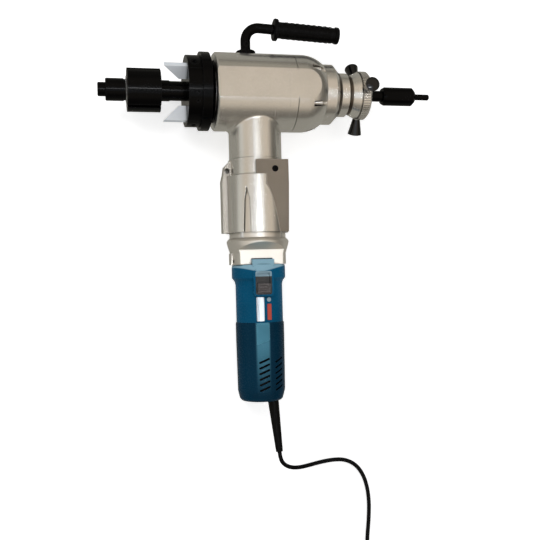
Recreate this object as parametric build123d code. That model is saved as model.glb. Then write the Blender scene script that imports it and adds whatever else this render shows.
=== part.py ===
from build123d import *
import math
import os

os.makedirs("parts", exist_ok=True)

# A pipe beveling machine that is clamped inside the pipe, lying on its back on a table.
# The spindle line runs along X with the mandrel's nose towards -X, and the drive line runs
# down -Y to the motor. +Z points away from the table. The origin is where the lines cross.
# Lengths are in millimetres. A depth is measured down the drive line from the spindle line.

# Clearances
fit_gap = 0.05
running_gap = 0.3
table_gap = 0.25
overrun = 5.0

# Main body
barrel_radius = 57.0
barrel_front_x = -61.0
barrel_joint_x = 43.0
barrel_edge = 2.0
flat_depth = 4.4
flat_angle = 86.5
front_recess_radius = 45.0
front_recess = 6.0
gear_room_radius = 48.0
gear_room_x = -12.0
neck_radius = 39.0
neck_end = 100.5
neck_fillet = 4.5
neck_bore = 26.0
neck_bore_start = 47.0
pinion_room_radius = 15.0

# Rear cover
cover_spigot = 10.0
barrel_end_x = 70.0
dome_end_x = 101.5
dome_end_radius = 45.5
dome_bulge = 48.9
shoulder_end_x = 117.0
shoulder_radius = 44.7
slope_end_x = 128.5
ring_radius = 32.5
ring_end_x = 140.5
groove_x = 55.0
groove_width = 1.4
groove_depth = 1.0
cover_screw_count = 6
cover_screw_inset = 8.0
cover_screw_circle = barrel_radius - cover_screw_inset
cover_screw_seat_x = 79.0
screw_pocket_radius = 4.2
cover_screw_head = 13.0

# Spindle with its bearings
spindle_radius = 22.0
spindle_bore = 14.5
spindle_front_x = -62.4
spindle_flange = 6.0
spindle_flange_radius = 32.0
spindle_end_x = 51.0
front_bearing_x = -54.0
bearing_width = 15.0
front_bearing_radius = 36.0
rear_bearing_radius = 34.0
seal_width = 4.0
seal_inset = 1.0

# Bevel gears
bevel_module = 1.75
crown_teeth = 48
pinion_teeth = 12
bevel_face = 11.0
crown_back = 9.0
crown_hub_radius = 29.0
pressure_angle = 25.0
tooth_play = 0.32
root_share = 1.25
flank_shares = (0.0, 0.4, 0.7, 1.0)

# Tool head
head_front_x = -102.0
head_step_x = -82.0
head_rear_x = -69.0
head_ring_radius = 51.5
head_disc_radius = 56.7
head_rear_radius = 41.0
head_back_x = -62.6
tool_count = 3
tool_angle = 50.0
slot_width = 25.2
slot_floor_radius = 20.0
block_inset = 0.1
bit_thickness = 8.0
bit_tip_radius = 46.0
bit_root_radius = 24.0
bit_tip_x = -135.0
bit_slant = 22.0
bit_back_x = -84.0
bit_relief_angle = 12.0
adjust_screw_radius = 6.6
adjust_screw_depth = 4.0
set_screw_radius = 2.6
set_screw_length = 9.0
set_screw_spread = 13.0
hex_socket_share = 0.55

# Mandrel
mandrel_radius = 14.0
mandrel_front_x = -138.2
mandrel_step_x = 148.0
mandrel_neck_radius = 8.2
mandrel_end_x = 201.0
stop_collar_radius = 15.0
stop_collar_width = 13.5
key_width = 5.0
key_depth = 3.0
key_start_x = 98.0
key_length = 16.0
keyway_gap = 1.0

# Draw rod with its wedge and the parts on its nose
rod_radius = 5.0
rod_tip_radius = 4.6
rod_end_x = 279.0
nose_x = -226.5
nose_nut_radius = 10.0
nose_nut_width = 11.0
nose_collar_radius = 16.0
nose_collar_edge = 1.0
nose_collar_width = 25.5
nose_spigot_radius = 15.0
wedge_start_x = -187.0
wedge_length = 33.0
wedge_radius = 19.0
wedge_height = 15.5
wedge_slope = 15.0

# Expansion pads
pad_count = 3
pad_angle = 90.0
pad_start_x = -185.4
pad_length = 47.2
pad_radius = 31.0
pad_side_gap = 5.6

# Feed travel and clamping travel
feed_forward = 15.0
feed_back = 12.0
feed_pitch = 4.0
clamp_pull = 4.0
clamp_release = 8.0
clamp_pitch = 2.0

# Feed hub
hub_start_x = 142.5
hub_radius = 36.2
hub_front_radius = 27.0
hub_cone_radius = 35.0
hub_main_end_x = 158.5
hub_groove_end_x = 161.0
hub_end_x = 174.5
hub_groove_depth = 1.5
hub_edge = 3.0
hub_spigot_radius = 22.0
hub_spigot_start_x = 119.0
hub_room_radius = 29.0
hub_room_gap = 2.0
thrust_ring_start_x = 125.0
thrust_ring_width = 8.0
knurl_count = 60
knurl_depth = 0.7
spoke_count = 3
spoke_angle = 206.5
spoke_x = 165.2
spoke_radius = 4.0
knob_root_radius = 36.6
knob_tip_radius = 62.0
knob_small_radius = 5.8
knob_big_radius = 10.6
knob_dome = 2.2

# Tension nut
nut_start_x = 201.4
nut_length = 52.0
nut_radius = 13.9
nut_chamfer = 4.0

# Handle
handle_x = -10.5
boss_radius = 14.5
boss_height = 5.5
boss_seat = 1.2
handle_tube_radius = 7.3
handle_height = 98.0
handle_drop_angle = 3.1
handle_bend_share = 0.546
handle_pin_radius = 5.0
grip_start_x = 32.5
grip_end_x = 133.5
grip_flange_radius = 16.3
grip_flange = 6.0
grip_radius = 12.0
grip_end_radius = 11.2
grip_lip_radius = 12.6
grip_lip = 5.5
grip_wall_end = 6.0
grip_edge = 1.0
lock_screw_depth = 9.0
lock_screw_radius = 3.4

# Gear case
case_radius = 46.0
case_top = 125.3
case_bottom = 208.0
case_spigot_radius = 40.5
case_bore = 41.5
carrier_room_radius = 36.0
ear_reach = 50.0
ear_half_depth = 10.0
ear_top = 101.0
ear_chamfer = 9.6
ear_slope_x = -38.5
ear_edge_s = 122.0
ear_wide_s = 132.0
ear_wide_reach = 52.5
ear_hole_radius = 4.0
ear_hole_x = -44.7
ear_hole_depth_s = 117.3
ear_hole_floor = 3.0
groove_point_x = -22.6
groove_point_s = 142.0
groove_shoulder_s = 160.0
groove_left_x = -25.6
groove_right_x = -18.2
groove_left_end_x = -28.0
groove_right_end_x = -17.5
groove_depth_radius = 43.4

# Clamp bracket
bracket_left_x = -8.4
bracket_right_x = 39.0
bracket_top = 104.5
bracket_step_x = 1.0
bracket_top_front = 45.8
bracket_slope_start = 140.0
bracket_bottom_front = 38.5
bracket_edge = 1.4
bracket_screw_x = 19.0
bracket_screw_s = 118.1
bracket_screw_radius = 4.6
screw_head_height = 5.0

# Planetary stage
planet_module = 1.25
sun_teeth = 12
planet_teeth = 24
planet_count = 3
ring_width = 20.0
planet_pin_radius = 4.0
carrier_radius = 33.0
carrier_end_gap = 0.7
carrier_thickness = 10.0
carrier_start = case_top + carrier_end_gap
planet_end_gap = 1.0
ring_start = carrier_start + carrier_thickness + planet_end_gap
shaft_radius = 10.0
pinion_bearing_width = 14.0
pinion_bearing_starts = (48.0, 82.0)
plate_gap = 3.0
plate_start = ring_start + ring_width + plate_gap
plate_thickness = 10.0
case_bearing_radius = 17.0

# Motor adapter
adapter_band_radius = 41.6
adapter_band_end = 215.5
adapter_bulge_radius = 46.10
adapter_bulge = 221.0
adapter_waist_radius = 41.3
adapter_waist = 238.0
adapter_end = 254.5
adapter_flat = 26.5
adapter_flat_top = 232.9
adapter_scoop_top = 222.3
adapter_bore = 31.0
adapter_web = 228.0
adapter_ear_x = -42.0
adapter_ear_depth = 17.0
adapter_ear_wall = 1.0
flange_screw_circle = 38.0
flange_screw_count = 4
flange_screw_angle = 45.0
flange_screw_radius = 4.2

# Motor
motor_collar_radius = 39.6
motor_collar_start = 255.0
motor_collar_end = 274.0
motor_radius = 34.6
motor_wall = 2.6
motor_joint = 339.0
tail_radius = 35.8
tail_widest = 362.0
tail_end_radius = 32.5
tail_end_wall = 2.0
tail_shoulder = 439.5
motor_end = 454.0
tail_chamfer_x = 34.9
tail_chamfer_s = 434.0
tail_chamfer_end_x = 27.0
tongue_start = 247.3
tongue_half_width = 15.8
tongue_top = 37.0
motor_edge = 3.0
motor_armature_radius = 20.0
core_start = 284.0
core_end = 338.0
core_slot_count = 12
core_slot_width = 2.0
core_slot_depth = 3.0
winding_front = 10.0
winding_rear = 14.0
air_gap = 0.8
armature_shaft_radius = 6.0
commutator_radius = 13.0
commutator_start = 382.0
commutator_length = 20.0
fan_radius = 29.0
fan_start = 262.0
fan_thickness = 10.0
fan_back = 2.0
fan_blades = 11
fan_blade_thickness = 1.6
motor_bearing_radius = 14.0
motor_bearing_width = 11.0
tail_bearing_start = 422.0
spider_front = 2.0
spider_wall = 3.0
spider_arm_width = 6.0
brush_size = 7.0
brush_length = 12.0
brush_box_wall = 1.6
brush_box_gap = 2.0
vent_count = 6
vent_pitch = 8.1
vent_start = 394.0
vent_width = 3.0
vent_length = 17.0
vent_tilt = 22.0
vent_column_angles = (-3.0, 37.0, -133.0, 147.0)

# Slide switch
switch_x = -0.6
switch_start = 264.5
switch_length = 34.0
switch_width = 24.0
switch_pad_top = 38.4
switch_pocket_depth = 4.5
switch_rim = 2.6
switch_corner = 3.0
slider_length = 13.0
slider_rise = 2.2
slider_floor = 1.0
slider_rib_depth = 1.0
slider_travel = 6.0
slider_ribs = 4
switch_block_start = 345.0
switch_block_length = 28.0
switch_block_floor = 19.0

# Cord
cord_radius = 3.1
relief_x = 17.0
relief_start_radius = 8.7
relief_end_radius = 5.2
relief_length = 80.0
relief_lean = 5.5
relief_flange_radius = 10.0
relief_flange = 3.0
relief_step = 2.0
exit_run = 11.0
cord_route = [
    (31.1, -553.0, 23.5), (41.7, -559.9, 17.6), (56.8, -563.1, 10.4), (74.6, -562.2, 3.9),
    (94.1, -559.5, 0.4), (114.6, -557.3, 0), (134.8, -558.5, 0), (152.4, -567.9, 0),
    (164.0, -584.8, 0), (170.0, -606.4, 0), (171.4, -630.4, 0), (169.3, -656.4, 0),
    (165.4, -684.3, 0), (164.0, -721.3, 0.3),
]
coil_centre = (122.0, -790.3)
coil_lead = 34.0
coil_layers = 4
coil_turns = 2
coil_pitch = 7.6
coil_inner_radius = 27.0
tail_straight = 14.0
tail_run = 62.0
tail_side = 5.0
arc_share = 0.45
plug_turn = 9.0
tie_thickness = 0.8
tie_width = 9.0
tie_angle = 135.0
plug_length = 38.0
plug_half_width = 17.6
plug_half_height = 9.0
plug_neck_radius = 5.6
plug_neck_length = 24.0
plug_neck_wall = 1.0
plug_round_share = 0.9
plug_pin_radius = 2.4
plug_pin_length = 19.0
plug_pin_spacing = 18.6


def turned(points):
    """A solid turned about the spindle line from an outline of (x, radius) points."""
    return revolve(make_face(Polyline(*points, close=True)), axis=Axis.X)


def tube_x(start, end, outer, inner=0):
    """A plain tube along the spindle line."""
    return turned([(start, inner), (end, inner), (end, outer), (start, outer)])


def turned_down(points):
    """A solid turned about the drive line from an outline of (radius, depth) points."""
    face = make_face(Polyline(*[(r, -s) for r, s in points], close=True))
    return revolve(face, axis=Axis.Y)


def tube_down(start, end, outer, inner=0):
    """A plain tube along the drive line."""
    return turned_down([(inner, start), (outer, start), (outer, end), (inner, end)])


def block(x0, x1, y0, y1, z0, z1):
    """A box between two corners."""
    size = Box(x1 - x0, y1 - y0, z1 - z0)
    return Pos((x0 + x1) / 2, (y0 + y1) / 2, (z0 + z1) / 2) * size


def around_spindle(shape, count, start=0.0):
    """Copies of a shape spread evenly about the spindle line."""
    return [Rot(start + 360 * i / count, 0, 0) * shape for i in range(count)]


def radial_pin(x, inner, outer, radius):
    """A round pin that points from the spindle line towards +Y."""
    pin = Cylinder(radius, outer - inner, align=(Align.CENTER, Align.CENTER, Align.MIN))
    return Pos(x, inner, 0) * Rot(-90, 0, 0) * pin


def socket_screw(head_radius, head_height, shank_radius, shank_length):
    """A socket screw along Z, with its head above zero and its shank below."""
    low = (Align.CENTER, Align.CENTER, Align.MIN)
    high = (Align.CENTER, Align.CENTER, Align.MAX)
    screw = Cylinder(head_radius, head_height, align=low)
    screw += Cylinder(shank_radius, shank_length, align=high)
    socket = extrude(RegularPolygon(head_radius * hex_socket_share, 6), head_height)
    return screw - Pos(0, 0, head_height / 2) * socket


def unwind(alpha):
    """The involute function of a pressure angle in radians."""
    return math.tan(alpha) - alpha


def tooth_outline(teeth, module, above, below, play):
    """One tooth as (radius, half angle) pairs from root to tip, thinned by half the play."""
    alpha = math.radians(pressure_angle)
    pitch = teeth * module / 2
    base = pitch * math.cos(alpha)
    half = (math.pi * module / 2 - play / 2) / (2 * pitch)
    root, tip = pitch - below, pitch + above
    pairs = []
    for share in flank_shares:
        radius = root + (tip - root) * share
        angle = math.acos(min(1.0, base / max(radius, base)))
        pairs.append((radius, half + unwind(alpha) - unwind(angle)))
    return pairs


def gear_face(teeth, module, above, below, turn=0.0, play=tooth_play):
    """The outline of a whole gear, with a tooth centred on the angle turn."""
    pairs = tooth_outline(teeth, module, above, below, play)
    points = []
    for i in range(teeth):
        middle = math.radians(turn) + 2 * math.pi * i / teeth
        flank = [(r, middle - a) for r, a in pairs] + [(r, middle + a) for r, a in reversed(pairs)]
        points += [(r * math.cos(a), r * math.sin(a)) for r, a in flank]
    return make_face(Polyline(*points, close=True))


def upright_to_drive(shape):
    """Turns a shape built along +Z so that it runs down the drive line."""
    return Rot(90, 0, 0) * shape


# Bevel gear sizes: both pitch cones have their apex where the two lines cross
crown_pitch = crown_teeth * bevel_module / 2
pinion_pitch = pinion_teeth * bevel_module / 2
cone_length = math.hypot(crown_pitch, pinion_pitch)
small_end_share = 1 - bevel_face / cone_length
pinion_cone = math.atan2(pinion_pitch, crown_pitch)


def bevel_tooth(teeth, pitch, cone_angle):
    """A bevel tooth that runs to the apex, on a gear about +Z with its apex at the origin."""
    back_radius = pitch / math.cos(cone_angle)
    virtual_teeth = teeth / math.cos(cone_angle)
    pairs = tooth_outline(virtual_teeth, bevel_module, bevel_module,
                          root_share * bevel_module, tooth_play)
    middle = Vector(pitch, 0, pitch / math.tan(cone_angle))
    outward = Vector(math.cos(cone_angle), 0, -math.sin(cone_angle))
    flank = []
    for r, a in pairs:
        rise, side = r * math.cos(a) - back_radius, r * math.sin(a)
        flank.append((rise, side))
    outline = [(h, -w) for h, w in flank] + [(h, w) for h, w in reversed(flank)]
    ends = []
    for share in (1.0, small_end_share):
        points = [(middle + outward * h + Vector(0, w, 0)) * share for h, w in outline]
        ends.append(make_face(Polyline(*points, close=True)))
    return loft(ends, ruled=True)


def bevel_blank(pitch, cone_angle, back):
    """The body under the bevel teeth, up to their root cone, with a flat back."""
    height = pitch / math.tan(cone_angle)
    sink = root_share * bevel_module - fit_gap
    big_r, big_z = pitch - sink * math.cos(cone_angle), height + sink * math.sin(cone_angle)
    small_r, small_z = big_r * small_end_share, big_z * small_end_share
    points = [(0, small_z), (small_r, small_z), (big_r, big_z), (big_r, height + back)]
    points.append((0, height + back))
    return revolve(make_face(Polyline(*[(r, 0, z) for r, z in points], close=True)), axis=Axis.Z)


def bevel_gear(teeth, pitch, cone_angle, back, turn):
    """A straight bevel gear about +Z with a tooth centred on the angle turn."""
    tooth = bevel_tooth(teeth, pitch, cone_angle)
    ring = [Rot(0, 0, turn + 360 * i / teeth) * tooth for i in range(teeth)]
    return bevel_blank(pitch, cone_angle, back).fuse(*ring)


def crown_gear():
    """The large bevel gear on the spindle."""
    gear = bevel_gear(crown_teeth, crown_pitch, math.pi / 2 - pinion_cone, crown_back, 0.0)
    gear = Rot(0, 90, 0) * Rot(0, 0, -90) * gear
    hub = tube_x(pinion_pitch + fit_gap, pinion_pitch + crown_back + fit_gap, crown_hub_radius)
    bore = tube_x(0, barrel_joint_x, spindle_radius + fit_gap)
    return gear + hub - bore


def pinion_shaft():
    """The bevel pinion in one piece with the shaft that carries it."""
    half_tooth = 180 / pinion_teeth
    pinion = bevel_gear(pinion_teeth, pinion_pitch, pinion_cone, crown_back, half_tooth)
    shaft = tube_down(crown_pitch + 2 * bevel_module, carrier_start, shaft_radius - fit_gap)
    return upright_to_drive(pinion) + shaft


def flat_cutter():
    """The space in front of the milled flat on the barrel's side."""
    slab = block(barrel_front_x - overrun, hub_start_x, -barrel_radius, barrel_radius,
                 barrel_radius - flat_depth, barrel_radius + overrun)
    return Rot(flat_angle - 90, 0, 0) * slab


def main_body():
    """The barrel casting with its drive neck."""
    barrel = chamfer(tube_x(barrel_front_x, barrel_joint_x, barrel_radius).edges()
                     .group_by(Axis.X)[0], barrel_edge)
    neck = tube_down(0, neck_end, neck_radius)
    body = barrel + neck
    seam = [e for e in body.edges() if e.geom_type not in (GeomType.LINE, GeomType.CIRCLE)]
    body = fillet(seam, neck_fillet)
    front = tube_x(barrel_front_x - overrun, barrel_front_x + front_recess, front_recess_radius)
    bearing_seat = tube_x(barrel_front_x, front_bearing_x + bearing_width,
                          front_bearing_radius + fit_gap)
    passage = tube_x(barrel_front_x, barrel_joint_x, spindle_radius + overrun)
    room = tube_x(gear_room_x, barrel_joint_x + overrun, gear_room_radius)
    drive = tube_down(neck_bore_start, neck_end + overrun, neck_bore)
    drive += tube_down(0, neck_end, pinion_room_radius)
    body = body - front - bearing_seat - passage - room - drive - flat_cutter()
    socket = radial_pin(handle_x, barrel_radius - boss_seat, barrel_radius + overrun,
                        boss_radius + fit_gap)
    return body - socket


def cover_outline():
    """The rear cover's outer outline, from its joint to its rear face."""
    dome = ThreePointArc((barrel_end_x, barrel_radius),
                         dome_middle(),
                         (dome_end_x, dome_end_radius))
    front = Polyline((barrel_joint_x, 0), (barrel_joint_x, barrel_radius),
                     (groove_x, barrel_radius),
                     (groove_x + groove_width / 2, barrel_radius - groove_depth),
                     (groove_x + groove_width, barrel_radius), (barrel_end_x, barrel_radius))
    rear = Polyline((dome_end_x, dome_end_radius), (dome_end_x, shoulder_radius),
                    (shoulder_end_x, shoulder_radius), (slope_end_x, ring_radius),
                    (ring_end_x, ring_radius), (ring_end_x, hub_front_radius),
                    (hub_start_x - 2 * running_gap, hub_front_radius - running_gap),
                    (hub_start_x - 2 * running_gap, 0), (barrel_joint_x, 0))
    return make_face(front.edges() + dome.edges() + rear.edges())


def dome_middle():
    """The middle of the dome's arc, which bulges above its chord."""
    chord = Vector(dome_end_x - barrel_end_x, dome_end_radius - barrel_radius)
    rise = dome_bulge - math.sqrt(dome_bulge ** 2 - (chord.length / 2) ** 2)
    normal = Vector(-chord.Y, chord.X) / chord.length
    middle = Vector(barrel_end_x, barrel_radius) + chord / 2 + normal * rise
    return (middle.X, middle.Y)


def rear_cover():
    """The domed rear cover, which carries the rear bearing and the feed hub."""
    cover = revolve(cover_outline(), axis=Axis.X)
    spigot_start = barrel_joint_x - cover_spigot
    cover += tube_x(spigot_start, barrel_joint_x + overrun, gear_room_radius - fit_gap)
    bearing_end = spindle_end_x - fit_gap
    cover -= tube_x(spigot_start - overrun, bearing_end, rear_bearing_radius + fit_gap)
    cover -= tube_x(bearing_end - overrun, key_start_x - overrun, spindle_radius + overrun)
    cover -= tube_x(key_start_x - 2 * overrun, key_start_x + key_length, mandrel_radius + fit_gap)
    cover -= tube_x(key_start_x + key_length - fit_gap, ring_end_x - overrun,
                    hub_room_radius)
    cover -= tube_x(ring_end_x - 2 * overrun, hub_end_x, hub_spigot_radius + running_gap)
    key_seat = block(key_start_x - fit_gap, key_start_x + key_length + fit_gap, 0,
                     mandrel_radius + key_depth + fit_gap,
                     -key_width / 2 - fit_gap, key_width / 2 + fit_gap)
    cover = cover - key_seat - flat_cutter()
    pocket = tube_x(cover_screw_seat_x, dome_end_x + overrun, screw_pocket_radius)
    pocket += block(cover_screw_seat_x, dome_end_x + overrun, 0, barrel_radius,
                    -screw_pocket_radius, screw_pocket_radius)
    hole = tube_x(barrel_joint_x, cover_screw_seat_x + fit_gap, cover_shank_radius + fit_gap)
    cutter = Pos(0, cover_screw_circle, 0) * (pocket + hole)
    return cover.cut(*around_spindle(cutter, cover_screw_count, flat_angle + screw_offset))


# Screws that hold the rear cover, half a step to each side of the flat
cover_screw_radius = screw_pocket_radius - 4 * fit_gap
cover_shank_radius = screw_pocket_radius / 2
screw_offset = 180 / cover_screw_count
cover_screw_length = cover_screw_seat_x - barrel_joint_x - running_gap


def cover_screws():
    """Socket screws in the open pockets of the dome."""
    screw = socket_screw(cover_screw_radius, cover_screw_head, cover_shank_radius,
                         cover_screw_length)
    screw = Pos(cover_screw_seat_x + fit_gap, cover_screw_circle, 0) * Rot(0, 90, 0) * screw
    return around_spindle(screw, cover_screw_count, flat_angle + screw_offset)


def spindle():
    """The hollow spindle, with a flange that the tool head sits on."""
    flange_end = spindle_front_x + spindle_flange
    body = tube_x(spindle_front_x, flange_end, spindle_flange_radius, spindle_bore)
    return body + tube_x(flange_end - fit_gap, spindle_end_x - 1.5 * running_gap,
                         spindle_radius, spindle_bore)


def bearing(width, outer, inner):
    """A sealed ball bearing about Z with recessed shields, standing on zero."""
    low = (Align.CENTER, Align.CENTER, Align.MIN)
    ring = Cylinder(outer, width, align=low) - Cylinder(inner, width, align=low)
    race = (outer - inner) / 4
    recess = Cylinder(outer - race, width / 10, align=low) - Cylinder(inner + race, width, align=low)
    return ring - recess - Pos(0, 0, width - width / 10) * recess


def spindle_bearings():
    """The front and rear bearings of the spindle."""
    inner = spindle_radius + fit_gap
    front = bearing(bearing_width, front_bearing_radius, inner)
    rear = bearing(bearing_width, rear_bearing_radius, inner)
    rear_x = spindle_end_x - fit_gap - bearing_width
    return [Pos(front_bearing_x, 0, 0) * Rot(0, 90, 0) * front,
            Pos(rear_x - fit_gap, 0, 0) * Rot(0, 90, 0) * rear]


def front_seal():
    """The lip seal in the recess in front of the bearing."""
    start = barrel_front_x + front_recess - seal_width - seal_inset
    return tube_x(start, start + seal_width, front_recess_radius - fit_gap,
                  spindle_flange_radius + running_gap)


def tool_head():
    """The turning head, with a radial slot for each tool block."""
    head = turned([(head_front_x, spindle_bore), (head_front_x, head_ring_radius),
                   (head_step_x, head_ring_radius), (head_step_x, head_disc_radius),
                   (head_rear_x, head_disc_radius), (head_back_x, head_rear_radius),
                   (head_back_x, spindle_bore)])
    slot = block(head_front_x - overrun, head_step_x, slot_floor_radius,
                 head_disc_radius + overrun, -slot_width / 2, slot_width / 2)
    bit_end = block(head_front_x, bit_back_x, bit_root_radius, bit_tip_radius,
                    -bit_thickness / 2, bit_thickness / 2)
    head = head.cut(*around_spindle(slot + bit_end, tool_count, tool_angle))
    holes = [Rot(a, 0, 0) * radial_pin(set_screw_x(), head_ring_radius - set_screw_length,
                                       head_ring_radius + overrun, set_screw_radius + fit_gap)
             for a in set_screw_angles()]
    return head.cut(*holes)


def set_screw_x():
    """Where the set screws lie along the ring."""
    return head_step_x - (head_step_x - head_front_x) / 3


def set_screw_angles():
    """Two set screws in the rim between each pair of slots."""
    middle = [tool_angle + 360 * (i + 1 / 2) / tool_count for i in range(tool_count)]
    half = math.degrees(set_screw_spread / 2 / head_ring_radius)
    return [a + side * half for a in middle for side in (-1, 1)]


def set_screws():
    """The screws in the rim that lock the tool blocks."""
    low = (Align.CENTER, Align.CENTER, Align.MIN)
    screw = Cylinder(set_screw_radius, set_screw_length - running_gap, align=low)
    depth = set_screw_length / 2
    socket = extrude(RegularPolygon(set_screw_radius * hex_socket_share, 6), depth)
    screw -= Pos(0, 0, depth) * socket
    place = Pos(set_screw_x(), head_ring_radius - set_screw_length, 0) * Rot(-90, 0, 0)
    return [Rot(a, 0, 0) * place * screw for a in set_screw_angles()]


def bit_outline(gap=0.0):
    """A bevel tool seen from its side, grown by a gap."""
    points = [(bit_back_x, bit_root_radius - gap), (bit_tip_x + bit_slant, bit_root_radius - gap),
              (bit_tip_x, bit_tip_radius + gap), (bit_back_x, bit_tip_radius + gap)]
    return make_face(Polyline(*points, close=True))


def bevel_tool():
    """A ground tool bit with a relieved cutting edge."""
    bit = extrude(bit_outline(), bit_thickness / 2, both=True)
    relief = Pos(bit_tip_x, bit_tip_radius, -bit_thickness / 2) * Rot(0, -bit_relief_angle, 0)
    relief_box = Box(bit_slant, 2 * bit_tip_radius, 2 * bit_thickness,
                     align=(Align.MAX, Align.CENTER, Align.CENTER))
    return bit - relief * relief_box


def tool_block():
    """A block that holds one bevel tool in its slot of the head."""
    half = slot_width / 2 - block_inset
    body = block(head_front_x, head_step_x - fit_gap, slot_floor_radius + fit_gap,
                 head_disc_radius, -half, half)
    body &= tube_x(head_front_x - overrun, head_step_x, head_ring_radius)
    body -= extrude(bit_outline(fit_gap), bit_thickness / 2 + fit_gap, both=True)
    seat = radial_pin(block_middle_x(), head_ring_radius - adjust_screw_depth - fit_gap,
                      head_disc_radius, adjust_screw_radius + fit_gap)
    return body - seat


def block_middle_x():
    """The middle of a tool block along the spindle line."""
    return (head_front_x + head_step_x) / 2


def adjust_screw():
    """The screw in a block's outer end that sets the bevel tool's radius."""
    low = (Align.CENTER, Align.CENTER, Align.MIN)
    screw = Cylinder(adjust_screw_radius, adjust_screw_depth - 2 * fit_gap, align=low)
    across = adjust_screw_radius * hex_socket_share
    socket = extrude(RegularPolygon(across, 6), adjust_screw_depth)
    screw -= Pos(0, 0, adjust_screw_depth / 3) * socket
    seat = head_ring_radius - adjust_screw_depth
    return Pos(block_middle_x(), seat, 0) * Rot(-90, 0, 0) * screw


def mandrel_tube():
    """The mandrel, with the stop collar that its pads rest against."""
    bore = rod_radius + fit_gap
    collar_end = mandrel_front_x + stop_collar_width
    edge = (stop_collar_radius - mandrel_radius) / 2
    tube = turned([(mandrel_front_x, bore), (mandrel_front_x, stop_collar_radius - edge),
                   (mandrel_front_x + edge, stop_collar_radius),
                   (collar_end - edge, stop_collar_radius), (collar_end, stop_collar_radius - edge),
                   (collar_end, mandrel_radius), (mandrel_step_x, mandrel_radius),
                   (mandrel_step_x, mandrel_neck_radius), (mandrel_end_x, mandrel_neck_radius),
                   (mandrel_end_x, bore)])
    keyway = block(key_start_x - feed_forward - keyway_gap,
                   key_start_x + key_length + feed_back + keyway_gap,
                   mandrel_radius - key_depth, mandrel_radius + overrun,
                   -key_width / 2 - fit_gap, key_width / 2 + fit_gap)
    return tube - keyway


def mandrel_key():
    """The key that stops the mandrel from turning."""
    return block(key_start_x, key_start_x + key_length, mandrel_radius - key_depth + fit_gap,
                 mandrel_radius + key_depth, -key_width / 2, key_width / 2)


def draw_rod():
    """The long rod that pulls the wedge."""
    nut_end = nut_start_x + nut_length
    return turned([(nose_x + nose_nut_width, 0), (nose_x + nose_nut_width, rod_radius),
                   (nut_end, rod_radius), (nut_end, rod_tip_radius),
                   (rod_end_x - rod_tip_radius / 4, rod_tip_radius),
                   (rod_end_x, rod_tip_radius * 3 / 4), (rod_end_x, 0)])


def ramp_height(x):
    """The distance of a wedge flat from the spindle line."""
    return wedge_height - (x - wedge_start_x) * math.tan(math.radians(wedge_slope))


def wedge_core():
    """The three-sided wedge that pushes the pads out."""
    end = wedge_start_x + wedge_length
    core = tube_x(wedge_start_x, end, wedge_radius, rod_radius + fit_gap)
    over = [(wedge_start_x - overrun, ramp_height(wedge_start_x - overrun)),
            (end + overrun, ramp_height(end + overrun)),
            (end + overrun, 2 * wedge_radius), (wedge_start_x - overrun, 2 * wedge_radius)]
    cutter = extrude(make_face(Polyline(*over, close=True)), 2 * wedge_radius, both=True)
    return core.cut(*around_spindle(cutter, pad_count, pad_angle))


def expansion_pad():
    """One pad, with its inclined underside, pointing towards +Y."""
    end = pad_start_x + pad_length
    slope = math.tan(math.radians(wedge_slope))
    flat_x = wedge_start_x + (wedge_height - rod_radius - 2 * fit_gap) / slope - clamp_release
    level = ramp_height(flat_x) + fit_gap
    side = [(pad_start_x, ramp_height(pad_start_x) + fit_gap), (flat_x, level), (end, level),
            (end, pad_radius + overrun), (pad_start_x, pad_radius + overrun)]
    pad = extrude(make_face(Polyline(*side, close=True)), pad_radius, both=True)
    pad &= tube_x(pad_start_x, end, pad_radius)
    for sign in (-1, 1):
        beyond = block(pad_start_x - overrun, end + overrun, -pad_radius, 2 * pad_radius,
                       -pad_side_gap / 2, 2 * pad_radius)
        pad -= Rot(sign * 180 / pad_count, 0, 0) * (
            beyond if sign > 0 else mirror(beyond, about=Plane.XY))
    return pad


def nose_collar():
    """The stepped collar in front of the wedge."""
    start = nose_x + nose_nut_width
    end = start + nose_collar_width
    return turned([(start, rod_radius + fit_gap), (start, nose_collar_radius - nose_collar_edge),
                   (start + nose_collar_edge, nose_collar_radius), (end, nose_collar_radius),
                   (end, nose_spigot_radius), (wedge_start_x, nose_spigot_radius),
                   (wedge_start_x, rod_radius + fit_gap)])


def nose_nut():
    """The nut on the rod's front end."""
    nut = tube_x(nose_x, nose_x + nose_nut_width, nose_nut_radius)
    return chamfer(nut.edges().group_by(Axis.X)[0], nose_nut_radius / 8)


def tension_nut():
    """The long nut that pulls the draw rod."""
    end = nut_start_x + nut_length
    bore = rod_radius + fit_gap
    return turned([(nut_start_x, bore), (nut_start_x, nut_radius - nut_chamfer / 2),
                   (nut_start_x + nut_chamfer, nut_radius), (end - nut_chamfer, nut_radius),
                   (end, nut_radius - nut_chamfer), (end, bore)])


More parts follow.
